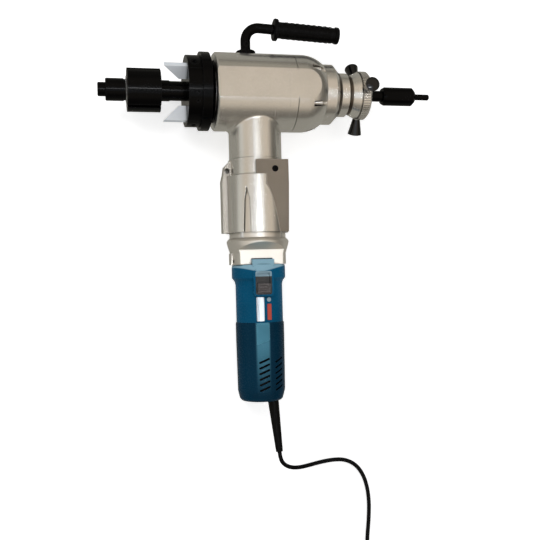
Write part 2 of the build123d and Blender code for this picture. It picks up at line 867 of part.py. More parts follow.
def feed_hub():
    """The feed hub, with a knurled rear ring and a bore for the mandrel."""
    groove_radius = hub_cone_radius - hub_groove_depth
    mandrel_room = mandrel_radius + running_gap
    room_end = mandrel_step_x + feed_forward + hub_room_gap
    hub = turned([(hub_spigot_start_x, mandrel_room), (hub_spigot_start_x, hub_spigot_radius),
                  (hub_start_x, hub_spigot_radius), (hub_start_x, hub_front_radius),
                  (hub_main_end_x, hub_cone_radius),
                  (hub_main_end_x, groove_radius), (hub_groove_end_x, groove_radius),
                  (hub_groove_end_x, hub_radius), (hub_end_x - hub_edge, hub_radius),
                  (hub_end_x, hub_radius - hub_edge), (hub_end_x, mandrel_neck_radius + running_gap),
                  (room_end, mandrel_neck_radius + running_gap), (room_end, mandrel_room)])
    notch = block(hub_groove_end_x, hub_end_x, hub_radius - knurl_depth,
                  hub_radius + overrun, -knurl_depth, knurl_depth)
    spokes = radial_pin(spoke_x, mandrel_room + 2 * overrun, hub_radius + overrun,
                        spoke_radius + fit_gap)
    cutters = around_spindle(notch, knurl_count)
    return hub.cut(*cutters, *around_spindle(spokes, spoke_count, spoke_angle))


def feed_spoke():
    """The stud that carries a knob."""
    return radial_pin(spoke_x, mandrel_radius + running_gap + 2 * overrun + fit_gap,
                      (knob_root_radius + knob_tip_radius) / 2, spoke_radius)


def feed_knob():
    """A tapered knob with a domed end."""
    tip = knob_tip_radius - knob_dome
    stud_end = (knob_root_radius + knob_tip_radius) / 2 + fit_gap
    bore = spoke_radius + fit_gap
    dome = (knob_big_radius ** 2 + knob_dome ** 2) / (2 * knob_dome)
    half_way = math.asin(knob_big_radius / dome) / 2
    edge = Polyline((0, knob_tip_radius), (0, stud_end), (bore, stud_end), (bore, knob_root_radius),
                    (knob_small_radius, knob_root_radius), (knob_big_radius, tip))
    cap = ThreePointArc((knob_big_radius, tip), (dome * math.sin(half_way),
                        knob_tip_radius - dome * (1 - math.cos(half_way))), (0, knob_tip_radius))
    knob = revolve(make_face(edge.edges() + cap.edges()), axis=Axis.Y)
    return Pos(spoke_x, 0, 0) * knob


def feed_thrust_ring():
    """The thrust ring that holds the hub's spigot in the rear cover."""
    end = thrust_ring_start_x + thrust_ring_width
    return tube_x(thrust_ring_start_x, end, hub_room_radius - fit_gap,
                  hub_spigot_radius + fit_gap)


def handle_direction():
    """The direction of the grip, which drops a little away from the foot."""
    drop = math.radians(handle_drop_angle)
    return Vector(math.cos(drop), -math.sin(drop), 0)


def grip_point(x):
    """The point of the grip's axis at an X."""
    along = handle_direction()
    return Vector(x, handle_height + (x - handle_x) * along.Y / along.X, 0)


def handle_boss():
    """The disc on the barrel that the handle is screwed into."""
    start = barrel_radius - boss_seat + fit_gap
    disc = radial_pin(handle_x, start, start + boss_height, boss_radius)
    disc = chamfer(disc.edges().group_by(Axis.Y)[-1], boss_height / 5)
    pin_room = radial_pin(handle_x, start - overrun, start + 2 * boss_height,
                          handle_pin_radius + fit_gap)
    return disc - pin_room


def boss_top():
    """The height of the boss above the spindle line."""
    return barrel_radius - boss_seat + fit_gap + boss_height


def handle_tube():
    """The bent tube, with the pin that it swivels on."""
    foot = Vector(handle_x, boss_top() + fit_gap, 0)
    end = grip_point(grip_end_x - grip_wall_end)
    bend = handle_bend_share * (handle_height - foot.Y)
    path = FilletPolyline(foot, Vector(handle_x, handle_height, 0), end, radius=bend)
    section = Plane(origin=foot, z_dir=(0, 1, 0)) * Circle(handle_tube_radius)
    tube = sweep(section, path=path)
    pin = radial_pin(handle_x, foot.Y - boss_height - fit_gap, foot.Y + overrun,
                     handle_pin_radius)
    hole = Pos(handle_x, foot.Y + lock_screw_depth, 0) * Cylinder(
        lock_screw_radius + fit_gap, handle_tube_radius,
        align=(Align.CENTER, Align.CENTER, Align.MIN))
    return tube + pin - Pos(0, 0, handle_tube_radius / 2) * hole


def handle_lock_screw():
    """The screw in the handle's foot."""
    depth = handle_tube_radius / 2
    screw = Cylinder(lock_screw_radius, depth, align=(Align.CENTER, Align.CENTER, Align.MIN))
    socket = extrude(RegularPolygon(lock_screw_radius * hex_socket_share, 6), depth)
    screw -= Pos(0, 0, depth / 2) * socket
    height = boss_top() + fit_gap + lock_screw_depth
    return Pos(handle_x, height, depth + fit_gap) * screw


def handle_grip():
    """The rubber grip, with a guard flange in front and a lip at its end."""
    start, end = grip_point(grip_start_x), grip_point(grip_end_x)
    length = (end - start).length
    room = handle_tube_radius + fit_gap
    stop = length - grip_wall_end + 2 * fit_gap
    edge = grip_edge
    outline = [(0, room), (0, grip_flange_radius - edge), (edge, grip_flange_radius),
               (grip_flange - edge, grip_flange_radius), (grip_flange, grip_flange_radius - edge),
               (grip_flange, grip_radius), (length - grip_lip, grip_end_radius),
               (length - grip_lip, grip_lip_radius), (length - edge, grip_lip_radius),
               (length, grip_lip_radius - edge), (length, 0), (stop, 0), (stop, room)]
    grip = turned(outline)
    return Pos(*start) * Rot(0, 0, -handle_drop_angle) * grip


def gear_case():
    """The gear case casting, with a clamp ear on its left."""
    case = tube_down(neck_end + fit_gap, case_bottom, case_spigot_radius)
    case += tube_down(case_top, case_bottom, case_radius)
    ear = Polyline((-case_spigot_radius / 2, -ear_top), (ear_slope_x, -ear_top),
                   (ear_slope_x - ear_chamfer, -ear_top - ear_chamfer), (-ear_reach, -ear_edge_s),
                   (-ear_wide_reach, -ear_wide_s), (-ear_wide_reach, -case_bottom),
                   (-case_spigot_radius / 2, -case_bottom), close=True)
    case += extrude(make_face(ear), ear_half_depth, both=True)
    case -= tube_down(neck_end - overrun, case_bottom + overrun, shaft_radius + overrun)
    case -= tube_down(neck_end, case_top - overrun, neck_bore)
    case -= tube_down(case_top, ring_start, carrier_room_radius)
    case -= tube_down(ring_start - fit_gap, case_bottom + overrun, case_bore + fit_gap)
    hole = Cylinder(ear_hole_radius, ear_reach, align=(Align.CENTER, Align.CENTER, Align.MIN))
    case -= Pos(ear_hole_x, -ear_hole_depth_s, ear_hole_floor - ear_half_depth) * hole
    return case - case_groove()


def case_groove():
    """The shallow pointed groove on the front of the gear case."""
    end = case_bottom + overrun
    outline = Polyline((groove_point_x, -groove_point_s), (groove_left_x, -groove_shoulder_s),
                       (groove_left_end_x, -end), (groove_right_end_x, -end),
                       (groove_right_x, -groove_shoulder_s), close=True)
    groove = extrude(make_face(outline), case_radius + overrun)
    return groove - tube_down(case_top, end + overrun, groove_depth_radius)


def clamp_bracket():
    """The bracket on the right of the gear case, with its sloping front."""
    side = Polyline((-bracket_top, 0), (-bracket_top, bracket_top_front),
                    (-bracket_slope_start, bracket_top_front), (-case_bottom, bracket_bottom_front),
                    (-case_bottom, 0), close=True)
    face = Plane.YZ * make_face(side)
    bracket = Pos(bracket_step_x, 0, 0) * extrude(face, bracket_right_x - bracket_step_x)
    front = [e for e in bracket.edges() if e.center().X > bracket_right_x - fit_gap
             and e.center().Z > bracket_bottom_front]
    bracket = fillet(front, bracket_edge)
    bracket += block(bracket_left_x, bracket_step_x + overrun, -case_top, -bracket_top,
                     0, bracket_top_front)
    bracket -= tube_down(0, case_top + fit_gap, case_spigot_radius + fit_gap)
    bracket -= tube_down(case_top - fit_gap, case_bottom + overrun, case_radius + fit_gap)
    for s in bracket_screw_depths():
        seat = Pos(bracket_screw_x, -s, bracket_front(s) - screw_head_height)
        low = (Align.CENTER, Align.CENTER, Align.MIN)
        bracket -= seat * Cylinder(bracket_screw_radius + 2 * fit_gap, 2 * screw_head_height, align=low)
    return bracket


def bracket_front(s):
    """How far the bracket's front stands out at a depth."""
    share = max(0, s - bracket_slope_start) / (case_bottom - bracket_slope_start)
    return bracket_top_front + (bracket_bottom_front - bracket_top_front) * share


def bracket_screw_depths():
    """The depths of the bracket's screws."""
    return (bracket_screw_s,)


def clamp_screws():
    """The socket screw that draws the clamp together."""
    screws = []
    for s in bracket_screw_depths():
        screw = socket_screw(bracket_screw_radius, screw_head_height - fit_gap,
                             bracket_screw_radius / 2, 2 * fit_gap)
        screws.append(Pos(bracket_screw_x, -s, bracket_front(s) - screw_head_height + fit_gap * 3)
                      * screw)
    return screws


# Planetary stage
planet_pitch = planet_module * planet_teeth / 2
sun_pitch = planet_module * sun_teeth / 2
ring_teeth = sun_teeth + 2 * planet_teeth
planet_distance = sun_pitch + planet_pitch
planet_angles = [90 + 360 * i / planet_count for i in range(planet_count)]


def planet_turn(angle):
    """The turn that puts a planet in mesh with the sun, whose tooth is at angle zero."""
    phase = (angle * sun_teeth / 360) % 1
    return angle + 180 - (0.5 - phase) * 360 / planet_teeth


def ring_turn():
    """The turn that puts the ring's tooth gaps round the planets' teeth."""
    angle = planet_angles[0]
    phase = ((angle - planet_turn(angle)) * planet_teeth / 360) % 1
    return angle - phase * 360 / ring_teeth


def place_down(shape, s):
    """Puts a shape that stands on zero at a depth of the drive line."""
    return upright_to_drive(Pos(0, 0, s) * shape)


def planet_gear(angle):
    """One planet, with a bore for its pin."""
    face = gear_face(planet_teeth, planet_module, planet_module, root_share * planet_module,
                     planet_turn(angle))
    gear = extrude(face, ring_width - 2 * planet_end_gap)
    gear -= Cylinder(planet_pin_radius + fit_gap, 3 * ring_width)
    where = Rot(0, 0, angle) * Pos(planet_distance, 0, 0)
    centre = (where.position.X, where.position.Y)
    return place_down(Pos(*centre, 0) * gear, ring_start + planet_end_gap)


def ring_gear():
    """The fixed ring with internal teeth."""
    gap = gear_face(ring_teeth, planet_module, root_share * planet_module, planet_module,
                    ring_turn(), -tooth_play)
    ring = extrude(Circle(case_bore) - gap, ring_width)
    return place_down(ring, ring_start)


def planet_carrier():
    """The disc with three pins that turns the pinion shaft."""
    low = (Align.CENTER, Align.CENTER, Align.MIN)
    disc = Cylinder(carrier_radius, carrier_thickness, align=low)
    for angle in planet_angles:
        spot = Rot(0, 0, angle) * Pos(planet_distance, 0, 0)
        pin = Cylinder(planet_pin_radius, ring_start + ring_width - carrier_start, align=low)
        disc += Pos(spot.position.X, spot.position.Y, 0) * pin
    return place_down(disc, carrier_start + fit_gap)


def pinion_bearings():
    """The two bearings of the pinion shaft."""
    ring = bearing(pinion_bearing_width - 2 * fit_gap, neck_bore - fit_gap, shaft_radius)
    return [place_down(ring, s) for s in pinion_bearing_starts]


def input_plate():
    """The plate behind the planetary stage, with the bore for the armature shaft."""
    return tube_down(plate_start, plate_start + plate_thickness, case_bore - fit_gap,
                     armature_shaft_radius + fit_gap)


def motor_adapter():
    """The adapter that joins the motor to the gear case."""
    body = turned_down([(0, case_bottom + fit_gap), (adapter_band_radius, case_bottom + fit_gap),
                        (adapter_band_radius, adapter_band_end),
                        ((adapter_band_radius + 2 * adapter_bulge_radius) / 3,
                         (adapter_band_end + adapter_bulge) / 2),
                        (adapter_bulge_radius, adapter_bulge),
                        ((adapter_waist_radius + 3 * adapter_bulge_radius) / 4,
                         (2 * adapter_bulge + adapter_waist) / 3),
                        (adapter_waist_radius, adapter_waist),
                        (adapter_waist_radius, adapter_end), (0, adapter_end)])
    ear = block(adapter_ear_x, 0, -adapter_end, -adapter_end + adapter_ear_depth,
                -ear_half_depth, ear_half_depth)
    body += ear
    body -= tube_down(case_bottom - overrun, adapter_web, adapter_bore)
    body -= tube_down(adapter_web - overrun, adapter_web + motor_bearing_width + fit_gap,
                      motor_bearing_radius + fit_gap)
    body -= tube_down(adapter_web, adapter_end, armature_shaft_radius + overrun / 2)
    body -= adapter_front()
    hole = Cylinder(ear_hole_radius * 3 / 4, 3 * ear_half_depth)
    inset = ear_hole_radius + adapter_ear_wall
    body -= Pos(adapter_ear_x + inset, -adapter_end + inset, 0) * hole
    for i in range(flange_screw_count):
        spot = flange_screw_spot(i)
        body -= place_down(Pos(*spot, 0) * Cylinder(flange_screw_radius + 2 * fit_gap,
                           adapter_band_end - case_bottom,
                           align=(Align.CENTER, Align.CENTER, Align.MIN)), case_bottom)
    return body


def adapter_front():
    """The space in front of the adapter's flat, with the scoop that rises to the bulge."""
    rise = (adapter_bulge_radius - adapter_flat) / (adapter_flat_top - adapter_scoop_top)
    far_z = adapter_bulge_radius + overrun
    end = -adapter_end - overrun
    side = Polyline((end, adapter_flat), (-adapter_flat_top, adapter_flat),
                    (-adapter_scoop_top + overrun / rise, far_z), (end, far_z), close=True)
    return extrude(Plane.YZ * make_face(side), adapter_bulge_radius, both=True)


def flange_screw_spot(i):
    """Where a flange screw stands in the plane across the drive line."""
    turn = math.radians(flange_screw_angle + 360 * i / flange_screw_count)
    return (flange_screw_circle * math.cos(turn), flange_screw_circle * math.sin(turn))


def flange_screws():
    """The screws between the gear case and the adapter."""
    length = adapter_band_end - case_bottom - 3 * fit_gap
    screw = Cylinder(flange_screw_radius, length, align=(Align.CENTER, Align.CENTER, Align.MIN))
    across = flange_screw_radius * hex_socket_share
    screw -= Pos(0, 0, length * 2 / 3) * extrude(RegularPolygon(across, 6), length)
    return [place_down(Pos(*flange_screw_spot(i), 0) * screw, case_bottom + fit_gap * 2)
            for i in range(flange_screw_count)]


def switch_pad():
    """The raised pad round the slide switch, as a solid."""
    pad = extrude(RectangleRounded(switch_width + 2 * switch_rim,
                                   switch_length + 2 * switch_rim, switch_corner + switch_rim),
                  switch_pad_top)
    return Pos(switch_x, -switch_start - switch_length / 2, 0) * pad


def switch_pocket(depth, inset=0.0):
    """The pocket in the pad that the switch frame fills."""
    pocket = extrude(RectangleRounded(switch_width - 2 * inset, switch_length - 2 * inset,
                                      switch_corner - inset / 2), 2 * depth)
    return Pos(switch_x, -switch_start - switch_length / 2, switch_pad_top - depth) * pocket


def motor_housing():
    """The front part of the motor's plastic housing."""
    start = motor_collar_start
    step = (motor_collar_radius - motor_radius)
    edge = motor_edge
    shell = turned_down([(0, start), (motor_collar_radius - edge / 3, start),
                         (motor_collar_radius, start + edge), (motor_collar_radius, motor_collar_end),
                         (motor_radius + step / 4, motor_collar_end + step),
                         (motor_radius, motor_collar_end + 2 * step),
                         (motor_radius, motor_joint), (0, motor_joint)])
    shell += switch_pad()
    shell -= tube_down(start + motor_wall, motor_joint + overrun, motor_radius - motor_wall)
    shell -= tube_down(start - overrun, start + overrun, armature_shaft_radius + overrun / 2)
    shell += block(-tongue_half_width, tongue_half_width, -start - motor_wall, -tongue_start,
                   adapter_flat + fit_gap, tongue_top)
    return shell - switch_pocket(switch_pocket_depth)


def switch_frame():
    """The light frame of the slide switch, with the slot that the slider runs in."""
    frame = switch_pocket(switch_pocket_depth, fit_gap)
    frame &= block(-motor_radius, motor_radius, -motor_joint, 0, 0, switch_pad_top)
    slot = block(-slider_half_width() - fit_gap, slider_half_width() + fit_gap,
                 -slider_slot_end(), -slider_slot_start(), 0, 2 * switch_pad_top)
    floor = switch_pad_top - switch_pocket_depth + fit_gap
    frame -= Pos(switch_x, 0, floor + slider_floor) * slot
    return Pos(0, 0, fit_gap) * frame


def slider_half_width():
    """Half the width of the slider."""
    return switch_width / 2 - switch_rim


def slider_slot_start():
    """The depth at which the slider's slot starts."""
    return switch_start + switch_rim


def slider_slot_end():
    """The depth at which the slider's slot ends."""
    return switch_start + switch_length - switch_rim


def switch_slider():
    """The ribbed slider, at its off end."""
    end = slider_slot_end() - fit_gap - running_gap
    start = end - slider_length
    floor = switch_pad_top - switch_pocket_depth + slider_floor + 4 * fit_gap
    top = switch_pad_top + slider_rise
    half = slider_half_width() - running_gap
    body = block(-half, half, -end, -start, floor, top)
    pitch = slider_length / (slider_ribs + 1)
    for i in range(slider_ribs):
        s = start + pitch * (i + 1)
        body -= block(-half, half, -s - pitch / 5, -s + pitch / 5, top - slider_rib_depth, top + overrun)
    return Pos(switch_x, 0, 0) * body


def tail_room(inset=0.0):
    """The space inside the motor's rear cover."""
    joint = motor_joint - overrun
    wide, narrow = tail_radius - motor_wall - inset, tail_end_radius - tail_end_wall - inset
    return turned_down([(0, joint), (wide, joint), (wide, tail_widest), (narrow, tail_shoulder),
                        (0, tail_shoulder)])


def tail_cover():
    """The motor's rear cover, with slanted vents and the frame of the rear bearing."""
    joint = motor_joint + fit_gap
    edge = motor_edge
    shell = turned_down([(0, joint), (tail_radius - edge / 3, joint), (tail_radius, joint + edge / 2),
                         (tail_radius, tail_widest),
                         ((tail_radius * 3 + tail_end_radius) / 4, tail_shoulder),
                         (tail_end_radius, motor_end - edge), (tail_end_radius - edge, motor_end),
                         (0, motor_end)]) - tail_chamfer()
    shell -= tail_room()
    slot = extrude(SlotOverall(vent_length, vent_width), tail_radius)
    slots = []
    for angle in vent_column_angles:
        for i in range(vent_count):
            place = Rot(0, angle, 0) * Pos(0, -vent_start - i * vent_pitch, tail_radius / 2)
            slots.append(place * Rot(0, 0, vent_tilt) * slot)
    shell = shell.cut(*slots)
    return shell - relief_space() + tail_spider()


def tail_chamfer():
    """The space beside the slanted right-hand corner of the rear cover."""
    side = Polyline((tail_chamfer_x, -tail_chamfer_s), (tail_chamfer_end_x, -motor_end),
                    (tail_chamfer_end_x, -motor_end - overrun), (2 * tail_radius, -motor_end - overrun),
                    (2 * tail_radius, -tail_chamfer_s), close=True)
    return extrude(make_face(side), 2 * tail_radius, both=True)


def relief_space():
    """The hole in the motor's rear wall that the strain relief sits in."""
    hole = Cylinder(relief_start_radius + fit_gap, 2 * (motor_end - tail_shoulder + overrun))
    return place_down(Pos(relief_x, 0, 0) * hole, motor_end)


def strain_relief():
    """The tapered rubber sleeve, which leans a little to the right."""
    low = (Align.CENTER, Align.CENTER, Align.MIN)
    flange_s = tail_shoulder - relief_flange - fit_gap
    root = Cylinder(relief_start_radius, motor_end - flange_s + relief_step, align=low)
    root += Cylinder(relief_flange_radius, relief_flange, align=low)
    sleeve = Cone(relief_start_radius - relief_step / 4, relief_end_radius, relief_length, align=low)
    whole = place_down(Pos(relief_x, 0, 0) * root, flange_s)
    return whole + place_down(Pos(relief_x, 0, 0) * Rot(0, relief_lean, 0) * sleeve, motor_end)


def armature_shaft():
    """The motor's shaft, with the sun teeth cut on its front end."""
    sun = extrude(gear_face(sun_teeth, planet_module, planet_module,
                            root_share * planet_module), ring_width + 1)
    shaft = place_down(sun, ring_start)
    end = tail_bearing_start + motor_bearing_width + 1
    return shaft + tube_down(ring_start + ring_width, end, armature_shaft_radius)


def armature_core():
    """The laminated core with its winding heads."""
    core = tube_down(core_start, core_end, motor_armature_radius, armature_shaft_radius + fit_gap)
    winding_radius = motor_armature_radius - core_slot_depth
    slot = block(-core_slot_width / 2, core_slot_width / 2, -core_end, -core_start,
                 winding_radius, motor_armature_radius + overrun)
    core = core.cut(*[Rot(0, 360 * i / core_slot_count, 0) * slot for i in range(core_slot_count)])
    inner = armature_shaft_radius + fit_gap
    ends = tube_down(core_end, core_end + winding_rear, winding_radius, inner)
    ends += tube_down(core_start - winding_front, core_start, winding_radius, inner)
    return core + ends


def commutator():
    """The copper commutator."""
    return tube_down(commutator_start, commutator_start + commutator_length, commutator_radius,
                     armature_shaft_radius + fit_gap)


def motor_fan():
    """The cooling fan on the armature shaft."""
    back = tube_down(fan_start, fan_start + fan_back, fan_radius, armature_shaft_radius + fit_gap)
    back += tube_down(fan_start, fan_start + fan_thickness, armature_shaft_radius * 2,
                      armature_shaft_radius + fit_gap)
    half = fan_blade_thickness / 2
    blade = block(armature_shaft_radius * 2 - half, fan_radius, -fan_start - fan_thickness,
                  -fan_start - fan_back / 2, -half, half)
    blades = [Rot(0, 360 * i / fan_blades, 0) * blade for i in range(fan_blades)]
    return back.fuse(*blades)


def stator():
    """The field stack round the armature."""
    inner = motor_armature_radius + air_gap
    return tube_down(core_start, core_end, motor_radius - motor_wall - fit_gap, inner)


def brush_sets():
    """Two brass brush boxes on the rear cover's wall, each with its carbon brush."""
    half = brush_size / 2 + brush_box_wall
    start = commutator_radius + brush_box_gap
    middle = commutator_start + commutator_length / 2
    box = block(start, tail_radius, -middle - half, -middle + half, -half, half) & tail_room()
    inner = brush_size / 2 + fit_gap
    box -= block(start - overrun, tail_radius, -middle - inner, -middle + inner, -inner, inner)
    tip = commutator_radius + fit_gap
    size = brush_size / 2
    brush = block(tip - fit_gap - size / 4, tip + brush_length, -middle - size, -middle + size,
                  -size, size)
    brush -= tube_down(commutator_start - overrun, commutator_start + commutator_length + overrun,
                       tip)
    return [box, Rot(0, 180, 0) * box, brush, Rot(0, 180, 0) * brush]


def motor_bearings():
    """The armature's two bearings."""
    ring = bearing(motor_bearing_width, motor_bearing_radius, armature_shaft_radius + fit_gap)
    return [place_down(ring, adapter_web), place_down(ring, tail_bearing_start)]


def tail_spider():
    """The hub and arms that hold the rear bearing in the rear cover."""
    start = tail_bearing_start - spider_front
    end = tail_shoulder - relief_flange - 4 * fit_gap
    hub = tube_down(start, end, motor_bearing_radius + spider_wall, motor_bearing_radius + fit_gap)
    half = spider_arm_width / 2
    arm = block(motor_bearing_radius + spider_wall / 2, tail_radius, -end, -start, -half, half)
    arms = [Rot(0, 60 + 120 * i, 0) * arm & tail_room(-fit_gap) for i in range(3)]
    return hub.fuse(*arms)


def switch_block():
    """The switch itself, seated against the inside of the rear cover."""
    half = slider_half_width()
    end = switch_block_start + switch_block_length
    box = block(-half, half, -end, -switch_block_start, switch_block_floor, tail_radius)
    return box & tail_room(fit_gap)


# The machine lies on the barrel and on the edge of the motor adapter's bulge, so everything
# turns by the lean about the spindle line, with the motor nearer the table
bulge_reach = math.hypot(adapter_bulge, adapter_bulge_radius)
lean = math.degrees(math.asin(barrel_radius / bulge_reach)
                    - math.atan2(adapter_bulge_radius, adapter_bulge))
table_z = -barrel_radius


def laid(shape):
    """A shape of the upright machine, turned to the way that it lies."""
    return Rot(lean, 0, 0) * shape


def laid_point(x, y, z):
    """A point of the upright machine, turned to the way that it lies."""
    turn = math.radians(lean)
    return Vector(x, y * math.cos(turn) - z * math.sin(turn),
                  y * math.sin(turn) + z * math.cos(turn))


# Cord route: from the strain relief's end down to the table and round to the coil
relief_turn = math.radians(relief_lean)
relief_end = laid_point(relief_x + relief_length * math.sin(relief_turn),
                        -motor_end - relief_length * math.cos(relief_turn), 0)
relief_way = (relief_end - laid_point(relief_x, -motor_end, 0)).normalized()
cord_height = table_z + cord_radius + table_gap
coil_lift = table_z + tie_thickness + table_gap + cord_radius
coil_outer_radius = coil_inner_radius + coil_turns * coil_pitch
coil_start = Vector(coil_centre[0] + coil_outer_radius, coil_centre[1], coil_lift)


def cord_points():
    """The cord's route, from the strain relief's mouth to the coil's first turn."""
    points = [relief_end, relief_end + relief_way * exit_run]
    points += [Vector(x, y, cord_height + rise) for x, y, rise in cord_route]
    return points + [coil_start + Vector(-coil_pitch / 4, coil_lead, 0), coil_start]


def route_radii(points):
    """The arc at each inner point: as large as the two runs that meet there allow."""
    radii = []
    for before, here, after in zip(points, points[1:], points[2:]):
        one, two = here - before, after - here
        half_turn = math.radians(one.get_angle(two)) / 2
        radii.append(arc_share * min(one.length, two.length) / math.tan(half_turn))
    return radii


def power_cord():
    """The free stretch of the cord as straight runs joined by tangent arcs."""
    points = cord_points()
    radii = route_radii(points)
    path = FilletPolyline(*points, radius=radii)
    section = Plane(origin=points[0], z_dir=relief_way) * Circle(cord_radius)
    tube = sweep(section, path=path)
    area = math.pi * cord_radius ** 2
    print("cord radii", " ".join(f"{r:.0f}" for r in radii))
    print(f"cord run {path.length:.0f} mm, volume over section {tube.volume / area:.0f} mm")
    return tube, path.length


def coil_nodes():
    """Points and directions along the coil, one for each quarter turn."""
    quarter = math.pi / 2
    nodes = []
    angle = 0.0
    radius = coil_outer_radius
    for layer in range(coil_layers):
        inward = layer % 2 == 0
        steps = 4 * coil_turns - (layer == coil_layers - 1)
        step = (-1 if inward else 1) * coil_pitch / 4
        for i in range(steps + 1):
            ends = i == 0 or i == steps
            slope = 0.0 if ends else step / quarter
            nodes.append(coil_node(angle + quarter * i, radius + step * i, slope,
                                   layer * coil_pitch, 0.0))
        angle += quarter * steps
        radius += step * steps
        if layer < coil_layers - 1:
            climb = coil_pitch / (math.pi * radius)
            nodes.append(coil_node(angle + quarter, radius, 0.0, (layer + 0.5) * coil_pitch,
                                   climb * 3 / 2))
            angle += 2 * quarter
    return nodes


def coil_node(angle, radius, slope, height, climb):
    """One point of the coil and its direction. The coil turns clockwise seen from above."""
    x, y = radius * math.cos(-angle), radius * math.sin(-angle)
    point = Vector(coil_centre[0] + x, coil_centre[1] + y, coil_lift + height)
    along = Vector(math.sin(-angle), -math.cos(-angle), 0)
    outward = Vector(math.cos(-angle), math.sin(-angle), 0)
    way = along + outward * (slope / radius) + Vector(0, 0, climb)
    return point, way.normalized()


def two_arcs(start, start_way, end, end_way):
    """Two tangent arcs between two points with given directions."""
    span = end - start
    both = start_way + end_way
    spread = 2 * (1 - start_way.dot(end_way))
    reach = (-span.dot(both) + math.sqrt(span.dot(both) ** 2 + spread * span.dot(span))) / spread
    joint = (start + start_way * reach + end - end_way * reach) / 2
    first = Edge.make_tangent_arc(start, start_way, joint)
    return [first, Edge.make_tangent_arc(joint, first.tangent_at(1), end)]


def cord_coil():
    """The rest of the cord, wound in piled loops that spiral in and out, down to the plug."""
    nodes = coil_nodes()
    edges = []
    for (start, way), (end, end_way) in zip(nodes, nodes[1:]):
        edges += two_arcs(start, way, end, end_way)
    top, top_way = nodes[-1]
    brink = top + top_way * tail_straight
    landing = Vector(brink.X - tail_run, brink.Y - tail_side, table_z + plug_half_height + table_gap)
    turn = math.radians(180 + plug_turn)
    landing_way = Vector(math.cos(turn), math.sin(turn), 0)
    end = landing + landing_way * (2 * cord_radius)
    edges.append(Edge.make_line(top, brink))
    edges += two_arcs(brink, top_way, landing, landing_way)
    edges.append(Edge.make_line(landing, end))
    path = Wire(edges)
    section = Plane(origin=nodes[0][0], z_dir=nodes[0][1]) * Circle(cord_radius)
    tube = sweep(section, path=path)
    report_coil(path, tube)
    return tube, path.length, end, landing_way


def report_coil(path, tube):
    """Prints the coil's length and the least gap between its turns."""
    count = int(path.length / cord_radius)
    points = [path.position_at(i / count) for i in range(count + 1)]
    skip = int(8 * cord_radius / (path.length / count))
    least = min((points[i] - points[j]).length
                for i in range(len(points)) for j in range(i + skip, len(points)))
    print(f"coil {path.length:.0f} mm, volume over section "
          f"{tube.volume / (math.pi * cord_radius ** 2):.0f} mm, least gap to itself "
          f"{least - 2 * cord_radius:.2f} mm")


def coil_tie():
    """The strap round the coil's bundle."""
    sag = coil_inner_radius - math.sqrt(coil_inner_radius ** 2 - (tie_width / 2) ** 2)
    inner = coil_inner_radius - cord_radius - sag - running_gap
    outer = coil_outer_radius + cord_radius + running_gap
    low = -cord_radius - fit_gap
    high = (coil_layers - 1) * coil_pitch + cord_radius + running_gap
    wall = tie_thickness
    loop = block(inner - wall, outer + wall, -tie_width / 2, tie_width / 2, low - wall, high + wall)
    loop = fillet(loop.edges().filter_by(Axis.Y), wall * 2)
    hole = block(inner, outer, -tie_width, tie_width, low, high)
    hole = fillet(hole.edges().filter_by(Axis.Y), wall)
    return Pos(coil_centre[0], coil_centre[1], coil_lift) * Rot(0, 0, tie_angle) * (loop - hole)


def plug_place(end, way):
    """The plug's own place: its neck at the origin, pointing along +X."""
    heading = math.degrees(math.atan2(way.Y, way.X))
    return Pos(*end) * Rot(0, 0, heading)


def plug_body():
    """A flat two-pin plug with a tapered neck, along +X."""
    low = (Align.CENTER, Align.CENTER, Align.MIN)
    neck = Rot(0, 90, 0) * Cone(cord_radius + plug_neck_wall, plug_neck_radius, plug_neck_length, align=low)
    slim = RectangleRounded(2 * plug_neck_radius, 2 * plug_neck_radius,
                            plug_neck_radius * plug_round_share)
    wide = RectangleRounded(2 * plug_half_width, 2 * plug_half_height,
                            plug_half_height * plug_round_share)
    start, middle, end = [Plane(origin=(plug_neck_length + plug_length * share, 0, 0),
                                x_dir=(0, 1, 0), z_dir=(1, 0, 0)) for share in (0, 1 / 2, 1)]
    grip = loft([start * slim, middle * wide], ruled=True)
    grip += loft([middle * wide, end * wide], ruled=True)
    return neck + grip


def plug_pins():
    """The two round pins, along +X."""
    low = (Align.CENTER, Align.CENTER, Align.MIN)
    pin = Rot(0, 90, 0) * Cylinder(plug_pin_radius, plug_pin_length, align=low)
    pin = chamfer(pin.edges().group_by(Axis.X)[-1], plug_pin_radius / 3)
    start = plug_neck_length + plug_length
    return [Pos(start, side * plug_pin_spacing / 2, 0) * pin for side in (-1, 1)]


def write(name, shape):
    """Writes one node, a single solid or a group of separate ones."""
    solids = shape if isinstance(shape, list) else [shape]
    found = [s for item in solids for s in item.solids()]
    whole = found[0] if len(found) == 1 else Compound(children=found)
    whole.label = name
    export_step(whole, f"parts/{name}.step")


